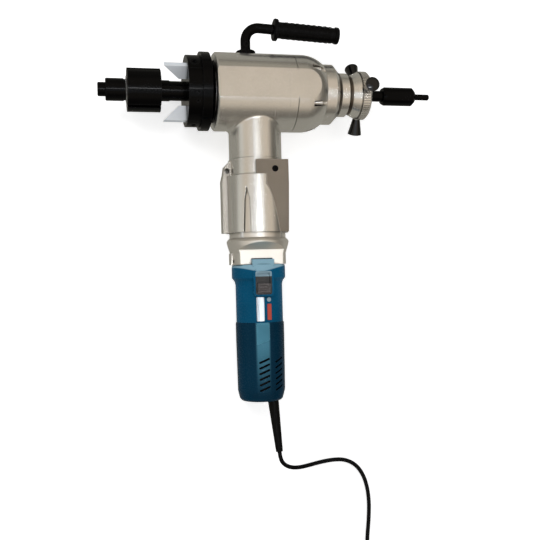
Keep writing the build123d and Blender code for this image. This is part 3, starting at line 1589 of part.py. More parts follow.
machine = {
    "nose_nut": nose_nut(),
    "nose_collar": nose_collar(),
    "draw_rod": draw_rod(),
    "wedge_core": wedge_core(),
    "mandrel_tube": mandrel_tube(),
    "mandrel_key": mandrel_key(),
    "tension_nut": tension_nut(),
    "tool_head": tool_head(),
    "tool_blocks": around_spindle(tool_block(), tool_count, tool_angle),
    "bevel_tools": around_spindle(bevel_tool(), tool_count, tool_angle),
    "tool_set_screws": set_screws(),
    "tool_adjust_screws": around_spindle(adjust_screw(), tool_count, tool_angle),
    "spindle": spindle(),
    "crown_gear": crown_gear(),
    "spindle_bearings": spindle_bearings(),
    "front_seal": front_seal(),
    "main_body": main_body(),
    "rear_cover": rear_cover(),
    "rear_cover_screws": cover_screws(),
    "feed_hub": feed_hub(),
    "feed_spokes": around_spindle(feed_spoke(), spoke_count, spoke_angle),
    "feed_knobs": around_spindle(feed_knob(), spoke_count, spoke_angle),
    "feed_thrust_ring": feed_thrust_ring(),
    "handle_boss": handle_boss(),
    "handle_tube": handle_tube(),
    "handle_lock_screw": handle_lock_screw(),
    "handle_grip": handle_grip(),
    "gear_case": gear_case(),
    "clamp_bracket": clamp_bracket(),
    "clamp_screws": clamp_screws(),
    "pinion_shaft": pinion_shaft(),
    "planet_carrier": planet_carrier(),
    "ring_gear": ring_gear(),
    "input_plate": input_plate(),
    "motor_adapter": motor_adapter(),
    "flange_screws": flange_screws(),
    "motor_housing": motor_housing(),
    "motor_tail_cover": tail_cover(),
    "switch_frame": switch_frame(),
    "switch_slider": switch_slider(),
    "switch_block": switch_block(),
    "armature_shaft": armature_shaft(),
    "armature_core": armature_core(),
    "commutator": commutator(),
    "motor_fan": motor_fan(),
    "stator": stator(),
    "brush_sets": brush_sets(),
    "drive_bearings": pinion_bearings() + motor_bearings(),
    "strain_relief": strain_relief(),
}
for i, angle in enumerate(planet_angles):
    machine[f"planet_gear_{i + 1}"] = planet_gear(angle)
for i, pad in enumerate(around_spindle(expansion_pad(), pad_count, pad_angle)):
    machine[f"expansion_pad_{i + 1}"] = pad

for name, shape in machine.items():
    write(name, [laid(s) for s in shape] if isinstance(shape, list) else laid(shape))

cord, cord_run = power_cord()
coil, coil_run, coil_end, coil_way = cord_coil()
plug = plug_place(coil_end, coil_way)
write("power_cord", cord)
write("cord_coil", coil)
write("coil_tie", coil_tie())
write("plug_body", plug * plug_body())
write("plug_pins", [plug * pin for pin in plug_pins()])
print(f"lean {lean:.4f} degrees, cord length {cord_run + coil_run + relief_length:.0f} mm")
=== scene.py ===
"""Pipe beveling machine: the stage, the lead, the small trim and the finishes of its model."""
import math

import bmesh
import bpy
from mathutils import Matrix, Quaternion, Vector


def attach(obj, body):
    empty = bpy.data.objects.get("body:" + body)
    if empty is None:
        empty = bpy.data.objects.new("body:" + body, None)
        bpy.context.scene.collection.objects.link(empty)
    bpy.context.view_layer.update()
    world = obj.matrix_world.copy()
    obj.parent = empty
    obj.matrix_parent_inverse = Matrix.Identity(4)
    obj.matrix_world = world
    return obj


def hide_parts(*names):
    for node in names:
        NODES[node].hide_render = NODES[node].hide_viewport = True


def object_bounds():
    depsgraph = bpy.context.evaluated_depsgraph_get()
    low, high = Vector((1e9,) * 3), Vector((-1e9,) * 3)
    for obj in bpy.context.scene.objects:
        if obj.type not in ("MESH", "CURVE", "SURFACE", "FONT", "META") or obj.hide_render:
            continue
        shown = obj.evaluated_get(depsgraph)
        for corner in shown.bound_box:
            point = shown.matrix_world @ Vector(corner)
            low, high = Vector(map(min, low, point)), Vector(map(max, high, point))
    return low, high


bl_info = {
    "name": "Pipe Beveling Machine Looks",
    "version": (1, 0, 0),
    "blender": (4, 5, 0),
    "location": "View3D > Sidebar > Beveler",
    "description": "Stage, cord, finishes and small trim for a pipe beveling machine",
    "category": "Object",
}

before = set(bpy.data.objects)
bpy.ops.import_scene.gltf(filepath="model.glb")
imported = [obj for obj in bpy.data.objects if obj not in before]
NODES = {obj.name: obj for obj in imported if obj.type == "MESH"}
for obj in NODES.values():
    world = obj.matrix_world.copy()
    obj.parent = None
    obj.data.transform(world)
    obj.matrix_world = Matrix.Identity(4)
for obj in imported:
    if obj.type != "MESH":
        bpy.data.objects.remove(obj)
CAD_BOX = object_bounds()

MM = 0.001
DEGREES = 180 / math.pi

# The machine is drawn upright, with its motor down -Y, and leans on the table by this turn.
LEAN = math.radians(2.842)
UPRIGHT_TO_ROW = Matrix.Rotation(LEAN, 4, "X")
TABLE_Z = round(CAD_BOX[0][2], 6)


# Shader wiring

EDGE_FROM, EDGE_TO = 0.02, 0.25
# Where enclosed places start and end being darkened as painted shade
CREVICE_SHADE_FROM, CREVICE_SHADE_TO = 0.12, 0.75


class Wire:
    """A shader socket that can be added, multiplied and so on: each sum adds a Math node."""

    def __init__(self, wiring, socket):
        self.wiring = wiring
        self.socket = socket

    def join(self, operation, *terms, clamp=False):
        settings = {"operation": operation, "use_clamp": clamp}
        return self.wiring.node("ShaderNodeMath", settings, dict(enumerate(terms)))

    def __add__(self, other):
        return self.join("ADD", self, other)

    def __radd__(self, other):
        return self.join("ADD", other, self)

    def __sub__(self, other):
        return self.join("SUBTRACT", self, other)

    def __rsub__(self, other):
        return self.join("SUBTRACT", other, self)

    def __mul__(self, other):
        return self.join("MULTIPLY", self, other)

    def __rmul__(self, other):
        return self.join("MULTIPLY", other, self)

    def __abs__(self):
        return self.join("ABSOLUTE", self)

    def clamped(self):
        return self.join("ADD", self, 0.0, clamp=True)


class Wiring:
    """A node tree in the making."""

    def __init__(self, tree):
        self.tree = tree
        self.tree.nodes.clear()

    def node(self, kind, settings=None, inputs=None, output=0):
        """A node with its settings made first, then the values or wires of its sockets."""
        made = self.tree.nodes.new(kind)
        for key, value in (settings or {}).items():
            if key == "stops":
                self.stops(made.color_ramp, value)
            else:
                setattr(made, key, value)
        for key, value in (inputs or {}).items():
            self.feed(made.inputs[key], value)
        return Wire(self, made.outputs[output])

    @staticmethod
    def stops(ramp, stops):
        """A grey at each place of a ramp."""
        while len(ramp.elements) < len(stops):
            ramp.elements.new(1.0)
        for element, (position, grey) in zip(ramp.elements, stops):
            element.position = position
            element.color = colour(grey, grey, grey)

    def feed(self, socket, value):
        if isinstance(value, Wire):
            self.tree.links.new(value.socket, socket)
        else:
            socket.default_value = value

    def mix(self, first, second, share):
        """Colour first, going to colour second as share goes from 0 to 1."""
        return self.node("ShaderNodeMix", {"data_type": "RGBA"},
                         {0: share, 6: first, 7: second}, output=2)

    def blend(self, share, first, second):
        """Shader first, going to shader second as share goes from 0 to 1."""
        return self.node("ShaderNodeMixShader", {}, {0: share, 1: first, 2: second})

    def parts(self, vector):
        """The three coordinates of a vector, as wires."""
        split = self.tree.nodes.new("ShaderNodeSeparateXYZ")
        self.feed(split.inputs[0], vector)
        return [Wire(self, socket) for socket in split.outputs]

    def ray(self, kind):
        return self.node("ShaderNodeLightPath", output=kind)

    def looks_through(self):
        """1 for the rays that see the background, from the camera or through something clear."""
        return (self.ray("Is Camera Ray") + self.ray("Is Transmission Ray")).clamped()

    def angle_from_up(self, side, up):
        """The angle in degrees from straight up towards a side."""
        return self.node("ShaderNodeMath", {"operation": "ARCTAN2"}, {0: side, 1: up}) * DEGREES

    def span(self, value, low, high):
        """0 below low and 1 above high, with a straight climb between them."""
        return self.node("ShaderNodeMapRange", {},
                         {"Value": value, "From Min": low, "From Max": high})

    def ramp(self, noise, low, high):
        """The same climb for a noise, as a grey of a colour ramp."""
        return self.node("ShaderNodeValToRGB", {"stops": [(low, 0.0), (high, 1.0)]},
                         {"Fac": noise})

    def step(self, value, low, high):
        """0 below low and 1 above high, with a smooth climb between them."""
        return self.node("ShaderNodeMapRange", {"interpolation_type": "SMOOTHSTEP"},
                         {"Value": value, "From Min": low, "From Max": high})

    def band(self, value, low, high, soft):
        """1 between low and high, with soft borders."""
        below = self.step(value, low - soft, low + soft)
        above = self.step(value, high - soft, high + soft)
        return below * (1.0 - above)


class Finish(Wiring):
    """One material in the making, with one Principled shader."""

    def __init__(self, name, roughness=0.5, metallic=0.0, **fixed):
        self.material = bpy.data.materials.new(name + "_finish")
        self.material.use_nodes = True
        super().__init__(self.material.node_tree)
        self.out = self.tree.nodes.new("ShaderNodeOutputMaterial")
        self.shader = self.tree.nodes.new("ShaderNodeBsdfPrincipled")
        self.tree.links.new(self.shader.outputs[0], self.out.inputs["Surface"])
        self.set(Roughness=roughness, Metallic=metallic, **fixed)
        self.place = self.node("ShaderNodeTexCoord", output="Object")

    def set(self, **values):
        """Values or wires for the shader's sockets, with _ for a space in their names."""
        for key, value in values.items():
            self.feed(self.shader.inputs[key.replace("_", " ")], value)

    def noise(self, scale, detail, place=None):
        return self.node("ShaderNodeTexNoise", {}, {"Vector": place or self.place,
                                                    "Scale": scale, "Detail": detail})

    def tool_marks(self, lines, detail):
        """Noise drawn out into lines: it has so many grains a metre along each axis."""
        place = self.node("ShaderNodeMapping", {}, {"Vector": self.place, "Scale": lines})
        return self.noise(1.0, detail, place)

    def rounded(self, radius):
        """The surface's direction with its edges rounded to this radius."""
        return self.node("ShaderNodeBevel", {"samples": 4}, {"Radius": radius})

    def skin(self, relief, depth, strength, edge):
        """The surface's direction with a fine relief, and with its edges rounded."""
        return self.node("ShaderNodeBump", {}, {"Height": relief, "Distance": depth,
                                                "Strength": strength,
                                                "Normal": self.rounded(edge)})

    def crevice_shade(self, reach):
        """1 deep in a groove or corner and 0 on open faces: the mask of painted shade."""
        open_share = self.node("ShaderNodeAmbientOcclusion", {"samples": 8}, {"Distance": reach},
                               output="AO")
        return self.span(1.0 - open_share, CREVICE_SHADE_FROM, CREVICE_SHADE_TO)

    def edges(self, radius):
        """1 along sharp edges and 0 elsewhere."""
        true_way = self.node("ShaderNodeNewGeometry", output="Normal")
        along = self.node("ShaderNodeVectorMath", {"operation": "DOT_PRODUCT"},
                          {0: self.rounded(radius), 1: true_way}, output="Value")
        return self.span(1.0 - along, EDGE_FROM, EDGE_TO)


# Colours

def colour(*rgb):
    return tuple(rgb) + (1.0,)


def shade(tint, share):
    """A share of a tint."""
    return colour(*(share * part for part in tint))


def paler(tint, share, lift=0.0):
    """A share of a tint, lifted and no brighter than white."""
    return colour(*(min(1.0, lift + share * part) for part in tint))


def panel_tint(name):
    """A colour of the panel, by its name."""
    return tuple(getattr(bpy.context.scene.beveler, name))


# Finishes

WORN_NICKEL = colour(0.90, 0.89, 0.86)
# The colour of the painted shade in the nickel's grooves and corners
NICKEL_CREVICE_SHADE = colour(0.075, 0.062, 0.045)
# The colour of the painted shade in the nickel's shaded bands
BAND_SHADE = colour(0.10, 0.082, 0.064)
BLACK_OXIDE = colour(0.0005, 0.0005, 0.0006)
PALE_OXIDE = colour(0.0016, 0.0016, 0.0019)
WORN_OXIDE = colour(0.06, 0.06, 0.064)
# The colour of the painted shade in the motor housing's corners
HOUSING_CREVICE_SHADE = colour(0.0004, 0.003, 0.006)
ROCKER_BLACK = colour(0.004, 0.004, 0.005)


def nickel_finish(name, lines, tint, cast_side=None, rough=0.17, shade_reach=5 * MM,
                  shaded_bands=()):
    """Satin nickel over machined metal, with tool marks and painted shade in grooves and corners.

    Left of cast_side the face is a rough casting. Each shaded band is a painted shade, dark
    between its left and right borders, which are soft. All are in metres across the machine."""
    made = Finish(name, metallic=0.9)
    across = made.parts(made.place)[0]
    cloud = made.noise(scale=9.0, detail=4.0)
    marks = made.tool_marks(lines, detail=5.0)
    worn = made.edges(1.2 * MM)
    base = made.mix(shade(tint, 0.90), paler(tint, 1.04), made.ramp(cloud, 0.3, 0.7))
    rough = rough + marks * 0.14 - worn * 0.04
    if cast_side is not None:
        cast = made.step(cast_side - across, 0.0, 0.6 * MM)
        base = made.mix(base, shade(tint, 0.86), cast)
        rough = rough + cast * 0.34
    # Painted shade: each band is dark across the spindle between its borders.
    for left, right, soft in shaded_bands:
        base = made.mix(base, BAND_SHADE, made.band(across, left, right, soft))
    base = made.mix(base, WORN_NICKEL, worn * 0.6)
    # Painted shade: the colour darkens in grooves and corners.
    made.set(Base_Color=made.mix(base, NICKEL_CREVICE_SHADE, made.crevice_shade(shade_reach) * 0.9),
             Roughness=rough, Normal=made.skin(marks, 0.06 * MM, 0.35, edge=0.7 * MM))
    return made.material


def black_steel_finish(name):
    """Black oxide on steel with a little oil on it."""
    made = Finish(name, Specular_IOR_Level=0.03, Coat_Weight=0.09, Coat_Roughness=0.03)
    cloud = made.noise(scale=35.0, detail=5.0)
    fine = made.noise(scale=900.0, detail=2.0)
    base = made.mix(BLACK_OXIDE, PALE_OXIDE, cloud)
    made.set(Base_Color=made.mix(base, WORN_OXIDE, made.edges(0.9 * MM) * cloud * 0.6),
             Roughness=0.16 + cloud * 0.14 + fine * 0.05,
             Normal=made.skin(fine, 0.04 * MM, 0.4, edge=0.6 * MM))
    return made.material


def bright_steel_finish(name, tint, rough, lines=(60.0, 2500.0, 60.0)):
    """Ground bright metal."""
    made = Finish(name, metallic=1.0)
    marks = made.tool_marks(lines, detail=4.0)
    cloud = made.noise(scale=40.0, detail=3.0)
    made.set(Base_Color=made.mix(shade(tint, 0.82), colour(*tint), cloud),
             Roughness=rough + marks * 0.14,
             Normal=made.skin(marks, 0.04 * MM, 0.4, edge=0.4 * MM))
    return made.material


def dull_metal_finish(name, tint, metallic=0.35, lines=(40.0, 1800.0, 40.0)):
    """A dull metal face, smoother and paler where it was rubbed, with painted shade in its
    corners.
    """
    made = Finish(name, metallic=metallic, Specular_IOR_Level=0.3)
    marks = made.tool_marks(lines, detail=4.0)
    cloud = made.noise(scale=22.0, detail=5.0)
    worn = made.edges(1.2 * MM)
    base = made.mix(shade(tint, 0.78), shade(tint, 1.15), cloud)
    base = made.mix(base, paler(tint, 1.7, lift=0.2), worn * 0.6)
    # Painted shade: the colour darkens in grooves and corners.
    made.set(Base_Color=made.mix(base, shade(tint, 0.25), made.crevice_shade(5 * MM)),
             Roughness=0.42 + marks * 0.16 - worn * 0.1,
             Normal=made.skin(marks, 0.08 * MM, 0.5, edge=0.7 * MM))
    return made.material


def paint_finish(name, tint, rough=0.22, part=None, highlight_tint=None):
    """Moulded motor housing: slight orange peel, edges pale with wear and painted highlight, and
    painted shade in corners.

    Where the given mask gives 1, a paler painted highlight lies over the moulding."""
    made = Finish(name, Specular_IOR_Level=0.06)
    cloud = made.noise(scale=14.0, detail=4.0)
    peel = made.noise(scale=420.0, detail=2.0)
    base = made.mix(shade(tint, 0.75), shade(tint, 1.12), made.ramp(cloud, 0.3, 0.65))
    if part is not None:
        # Painted highlight: a paler colour where the given mask gives 1.
        base = made.mix(base, colour(*highlight_tint), part(made) * (0.75 + cloud * 0.5))
    # Pale edges: partly wear and partly a painted highlight along the edges.
    base = made.mix(base, paler(tint, 2.6, lift=0.03), made.edges(1.0 * MM) * 0.6)
    # Painted shade: the colour darkens in the corners.
    made.set(Base_Color=made.mix(base, HOUSING_CREVICE_SHADE, made.crevice_shade(4 * MM)),
             Roughness=rough + peel * 0.10,
             Normal=made.skin(peel, 0.12 * MM, 0.25, edge=0.8 * MM))
    return made.material


# Where the painted highlights on the collar's band and down the rear cover lie
APRON_MIDDLE, APRON_FALL = -4 * MM, 0.26
APRON_END, APRON_START = -268.8 * MM, -266.4 * MM
CENTRE_LEFT, CENTRE_RIGHT, CENTRE_SOFT = -12.5 * MM, 6.5 * MM, 2.2 * MM
CENTRE_END, CENTRE_START = -452 * MM, -345 * MM


def apron_highlight(made):
    """A painted highlight on the collar's front band, deepest before the switch."""
    x, y, z = made.parts(made.place)
    fold = abs(x - APRON_MIDDLE) * APRON_FALL
    return made.step(y - fold, APRON_END, APRON_START)


def centre_highlight(made):
    """A painted highlight down the middle of the rear cover, which fades out to its end."""
    x, y, z = made.parts(made.place)
    middle = made.band(x, CENTRE_LEFT, CENTRE_RIGHT, CENTRE_SOFT)
    return middle * made.step(y, CENTRE_END, CENTRE_START)


def plastic_finish(name, tint, rough=0.45, black_below=None):
    """Moulded plastic with a fine grain, black below a line down the motor."""
    made = Finish(name)
    grain = made.noise(scale=1600.0, detail=2.0)
    cloud = made.noise(scale=50.0, detail=3.0)
    base = made.mix(shade(tint, 0.85), colour(*tint), cloud)
    if black_below is not None:
        below = black_below - made.parts(made.place)[1]
        base = made.mix(base, ROCKER_BLACK, made.step(below, 0.0, 0.8 * MM))
    made.set(Base_Color=base, Roughness=rough + grain * 0.12,
             Normal=made.skin(grain, 0.06 * MM, 0.5, edge=0.5 * MM))
    return made.material


def gloss_finish(name, tint):
    """Polished black knob plastic."""
    made = Finish(name, Specular_IOR_Level=0.10, Coat_Weight=0.6, Coat_Roughness=0.03)
    haze = made.noise(scale=60.0, detail=4.0)
    made.set(Base_Color=made.mix(colour(*tint), paler(tint, 2.0, lift=0.001), haze),
             Roughness=0.10 + haze * 0.08,
             Normal=made.skin(haze, 0.1 * MM, 0.1, edge=0.6 * MM))
    return made.material


def rubber_finish(name, tint):
    """Dull rubber with a matt grain and a little dust."""
    made = Finish(name, Specular_IOR_Level=0.08)
    grain = made.noise(scale=1300.0, detail=3.0)
    dust = made.ramp(made.noise(scale=70.0, detail=5.0), 0.5, 0.8)
    made.set(Base_Color=made.mix(colour(*tint), paler(tint, 3.0, lift=0.003), dust * 0.4),
             Roughness=0.38 + grain * 0.2,
             Normal=made.skin(grain, 0.1 * MM, 0.5, edge=0.5 * MM))
    return made.material


# Tool marks as grains a metre along each axis: fine along the spindle or the motor, as turning
# leaves them, and long round it.
ALONG_SPINDLE = (2600.0, 40.0, 40.0)
ALONG_MOTOR = (40.0, 2600.0, 40.0)
CAST_SIDE = -40.5 * MM
SWITCH_LINE = -273.3 * MM
# Bands of painted shade: in the gap before the feed hub and on the rear cover's slope
HUB_GAP_SHADE = (141.2 * MM, 147.2 * MM, 0.8 * MM)
COVER_SLOPE_SHADE = (122.2 * MM, 128.6 * MM, 1.0 * MM)
FINISHES = {
    "nickel_turned": lambda name: nickel_finish(name, ALONG_SPINDLE, panel_tint("nickel")),
    "nickel_upright": lambda name: nickel_finish(name, ALONG_MOTOR, panel_tint("nickel")),
    "nickel_case": lambda name: nickel_finish(name, ALONG_MOTOR, panel_tint("nickel"),
                                              cast_side=CAST_SIDE),
    # The hub's finish: far-reaching painted shade in its grooves and two bands of painted shade
    "nickel_hub": lambda name: nickel_finish(name, ALONG_SPINDLE, panel_tint("nickel"),
                                             shade_reach=14 * MM,
                                             shaded_bands=(HUB_GAP_SHADE, COVER_SLOPE_SHADE)),
    "nickel_adapter": lambda name: nickel_finish(name, ALONG_MOTOR, panel_tint("adapter"),
                                                 rough=0.30),
    "nickel_dull": lambda name: dull_metal_finish(name, panel_tint("bracket")),
    "black_steel": black_steel_finish,
    "bright_steel": lambda name: bright_steel_finish(name, (0.78, 0.78, 0.78), 0.22),
    "tool_steel": lambda name: dull_metal_finish(name, panel_tint("tool"), 0.3, ALONG_SPINDLE),
    "gear_steel": lambda name: bright_steel_finish(name, (0.50, 0.50, 0.51), 0.30),
    # Painted highlights: on the collar's band in front of the switch, and down the rear cover
    "motor_blue": lambda name: paint_finish(name, panel_tint("housing"), 0.22, apron_highlight,
                                            panel_tint("apron_highlight_tint")),
    "tail_blue": lambda name: paint_finish(name, panel_tint("tail"), 0.22, centre_highlight,
                                           panel_tint("tail_panel_and_highlight")),
    "panel_blue": lambda name: paint_finish(name, panel_tint("tail_panel_and_highlight"), 0.34),
    "trim_silver": lambda name: bright_steel_finish(name, panel_tint("trim"), 0.30, ALONG_MOTOR),
    "accent_red": lambda name: plastic_finish(name, panel_tint("accent"), 0.40),
    "grey_plastic": lambda name: plastic_finish(name, (0.095, 0.085, 0.085)),
    "pale_plastic": lambda name: plastic_finish(name, (0.34, 0.46, 0.53), 0.35),
    "switch_plastic": lambda name: plastic_finish(name, (0.26, 0.40, 0.48), 0.35, SWITCH_LINE),
    "black_gloss": lambda name: gloss_finish(name, (0.0012, 0.0012, 0.0014)),
    "grip_rubber": lambda name: rubber_finish(name, (0.0015, 0.0015, 0.0017)),
    "cord_rubber": lambda name: rubber_finish(name, (0.0025, 0.0025, 0.0028)),
    "copper": lambda name: bright_steel_finish(name, (0.70, 0.34, 0.20), 0.30),
    "brass": lambda name: bright_steel_finish(name, (0.70, 0.56, 0.28), 0.28),
    "iron": lambda name: bright_steel_finish(name, (0.16, 0.16, 0.17), 0.42),
    "plug_brass": lambda name: bright_steel_finish(name, (0.74, 0.70, 0.58), 0.24),
}
WEARS = {
    "nickel_turned": ["main_body"],
    "nickel_hub": ["rear_cover", "feed_hub"],
    "nickel_upright": ["input_plate"],
    "nickel_adapter": ["motor_adapter"],
    "nickel_case": ["gear_case"],
    "nickel_dull": ["clamp_bracket"],
    "black_steel": ["nose_nut", "nose_collar", "draw_rod", "expansion_pad_1", "expansion_pad_2",
                    "expansion_pad_3", "mandrel_tube", "tension_nut", "tool_head", "tool_blocks",
                    "tool_set_screws", "handle_tube", "clamp_screws", "tool_adjust_screws",
                    "handle_lock_screw", "handle_boss"],
    "bright_steel": ["spindle_bearings", "rear_cover_screws", "feed_spokes", "flange_screws",
                     "drive_bearings"],
    "tool_steel": ["bevel_tools"],
    "gear_steel": ["wedge_core", "mandrel_key", "spindle", "crown_gear", "feed_thrust_ring",
                   "pinion_shaft", "planet_carrier", "planet_gear_1", "planet_gear_2",
                   "planet_gear_3", "ring_gear", "armature_shaft"],
    "motor_blue": ["motor_housing"],
    "tail_blue": ["motor_tail_cover"],
    "grey_plastic": ["switch_slider", "motor_fan"],
    "switch_plastic": ["switch_frame"],
    "black_gloss": ["feed_knobs"],
    "grip_rubber": ["handle_grip"],
    "cord_rubber": ["front_seal", "switch_block", "strain_relief", "coil_tie", "plug_body"],
    "copper": ["commutator"],
    "brass": ["brush_sets"],
    "iron": ["armature_core", "stator"],
    "plug_brass": ["plug_pins"],
}


def finish(name):
    """The named finish, made once."""
    return bpy.data.materials.get(name + "_finish") or FINISHES[name](name)


def wear(node, material):
    """Give one part of the model its finish, on all its faces."""
    mesh = NODES[node].data
    if not mesh.materials:
        mesh.materials.append(material)
    for i in range(len(mesh.materials)):
        mesh.materials[i] = material


# Pieces

def upright(x, y, z):
    """A point of the upright machine, in millimetres, in the row frame's metres."""
    return UPRIGHT_TO_ROW @ Vector((x * MM, y * MM, z * MM))


def mesh_from(name, model):
    mesh = bpy.data.meshes.new(name)
    model.to_mesh(mesh)
    model.free()
    return mesh


def placed(name, data, body, material):
    """A new object in the row frame that rides on a body."""
    piece = bpy.data.objects.new(name, data)
    bpy.context.scene.collection.objects.link(piece)
    data.materials.append(finish(material))
    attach(piece, body)
    return piece


def soften(piece, width):
    """Round a piece's sharp edges by a width in millimetres."""
    soft = piece.modifiers.new("edges", "BEVEL")
    soft.width = width * MM
    soft.segments = 2
    soft.limit_method = "ANGLE"


# Lead

CORD_RADIUS = 3.1 * MM
TABLE_GAP = 0.25 * MM
TIE_THICKNESS = 0.8 * MM
CORD_HEIGHT = TABLE_Z + CORD_RADIUS + TABLE_GAP
COIL_HEIGHT = TABLE_Z + TIE_THICKNESS + TABLE_GAP + CORD_RADIUS
COIL_CENTRE = Vector((122.0 * MM, -790.3 * MM, COIL_HEIGHT))
COIL_OUTER, COIL_PITCH = 42.2 * MM, 7.6 * MM
COIL_TURNS, COIL_LAYERS, POINTS_A_TURN = 2, 4, 16
COIL_APPROACH = 34 * MM

# The strain relief's root and turn on the upright machine, and the straight lead after it.
RELIEF_X, RELIEF_Y, RELIEF_LENGTH = 17.0, -454.0, 80.0
RELIEF_TURN = math.radians(5.5)
STRAIGHT_OUT = 11 * MM

# Given as in the solids, in millimetres: across, along and above the cord's height.
ROUTE = [(31.1, -553.0, 23.5), (41.7, -559.9, 17.6), (56.8, -563.1, 10.4), (74.6, -562.2, 3.9),
         (94.1, -559.5, 0.4), (114.6, -557.3, 0.0), (134.8, -558.5, 0.0), (152.4, -567.9, 0.0),
         (164.0, -584.8, 0.0), (170.0, -606.4, 0.0), (171.4, -630.4, 0.0), (169.3, -656.4, 0.0),
         (165.4, -684.3, 0.0), (164.0, -721.3, 0.3)]

# From the coil's top the lead runs off its brink and lands in the plug.
BRINK_REACH = 14 * MM
LANDING_REACH, LANDING_SIDE = 62 * MM, 5 * MM
PLUG_HEIGHT = TABLE_Z + 9 * MM + TABLE_GAP
PLUG_HEADING = math.radians(189)
BEND_REACH, BEND_DROP = 16 * MM, 1 * MM


def coil_point(angle, radius, height):
    """A point of the coil, which turns clockwise seen from above."""
    return COIL_CENTRE + Vector((radius * math.cos(angle), -radius * math.sin(angle), height))


def coil_points():
    """The coil's layers spiral in and out, and climb in the half turn between them."""
    points, angle, radius = [], 0.0, COIL_OUTER
    step = 2 * math.pi / POINTS_A_TURN
    half = POINTS_A_TURN // 2
    for layer in range(COIL_LAYERS):
        last = layer == COIL_LAYERS - 1
        way = -1 if layer % 2 == 0 else 1
        quarters = 4 * COIL_TURNS - last
        count = quarters * POINTS_A_TURN // 4
        for i in range(count):
            share = i / POINTS_A_TURN
            points.append(coil_point(angle + step * i, radius + way * COIL_PITCH * share,
                                     layer * COIL_PITCH))
        angle += step * count
        radius += way * COIL_PITCH * quarters / 4
        if last:
            points.append(coil_point(angle, radius, layer * COIL_PITCH))
            break
        for i in range(half):
            rise = (1 - math.cos(math.pi * i / half)) / 2
            points.append(coil_point(angle + step * i, radius, (layer + rise) * COIL_PITCH))
        angle += math.pi
    return points


def cord_route():
    """The cord's control points, from the strain relief to the plug, and its exit."""
    root = upright(RELIEF_X, RELIEF_Y, 0)
    mouth = upright(RELIEF_X + RELIEF_LENGTH * math.sin(RELIEF_TURN),
                    RELIEF_Y - RELIEF_LENGTH * math.cos(RELIEF_TURN), 0)
    points = [mouth, mouth + (mouth - root).normalized() * STRAIGHT_OUT]
    points += [Vector((x * MM, y * MM, CORD_HEIGHT + rise * MM)) for x, y, rise in ROUTE]
    start = COIL_CENTRE + Vector((COIL_OUTER, 0, 0))
    points.append(start + Vector((-COIL_PITCH / 4, COIL_APPROACH, 0)))
    turns = coil_points()
    points += turns
    brink = turns[-1] + Vector((-BRINK_REACH, 0, 0))
    landing = Vector((brink.x - LANDING_REACH, brink.y - LANDING_SIDE, PLUG_HEIGHT))
    ahead = Vector((math.cos(PLUG_HEADING), math.sin(PLUG_HEADING), 0))
    points += [brink, brink + Vector((-BEND_REACH, 0, -BEND_DROP)),
               landing - ahead * BEND_REACH + Vector((0, 0, BEND_DROP)), landing,
               landing + ahead * 2 * CORD_RADIUS]
    return points, mouth


def make_cord():
    """The power lead, from the strain relief through its coil into the plug."""
    points, mouth = cord_route()
    curve = bpy.data.curves.new("power_lead", "CURVE")
    curve.dimensions = "3D"
    curve.bevel_depth = CORD_RADIUS
    curve.bevel_resolution = 6
    curve.use_fill_caps = True
    spline = curve.splines.new("NURBS")
    spline.points.add(len(points) - 1)
    for target, point in zip(spline.points, points):
        target.co = (*point, 1.0)
    spline.order_u = 3
    spline.use_endpoint_u = True
    spline.resolution_u = 8
    lead = placed("power_lead", curve, "machine_frame", "cord_rubber")
    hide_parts("power_cord", "cord_coil")


# Motor trim, in millimetres across and down the upright machine

MOTOR_RADII = (34.6, 34.6)
TAIL_RADII = (35.7, 35.8)
PLATE_LIFT, PLATE_SINK, PLATE_EDGE, PLATE_SLICE = 0.5, 0.3, 0.25, 1.5
CORNER_POINTS = 5
STRIP_SIDE, STRIP_TOP, STRIP_WIDTH, STRIP_CORNER = -5.6, 302.0, 11.4, 1.2
LIGHT_MIDDLE, LIGHT_SIZE, LIGHT_CORNER, LIGHT_LIFT = (7.3, 305.8), (6.4, 6.4), 3.1, 0.6
BAR_MIDDLE, BAR_SIZE, BAR_CORNER = (7.7, 323.7), (6.4, 23.4), 1.0
PANEL_MIDDLE, PANEL_SIZE, PANEL_CORNER, PANEL_SKEW = (-3.0, 356.0), (19.0, 31.0), 2.0, 7.0


def rounded_outline(width, length, corner):
    """The points of a rectangle with round corners, about its middle."""
    points = []
    for turn, (side, end) in enumerate([(1, 1), (-1, 1), (-1, -1), (1, -1)]):
        middle_x = side * (width / 2 - corner)
        middle_y = end * (length / 2 - corner)
        for i in range(CORNER_POINTS + 1):
            angle = math.pi / 2 * (turn + i / CORNER_POINTS)
            points.append((middle_x + corner * math.cos(angle),
                           middle_y + corner * math.sin(angle)))
    return points


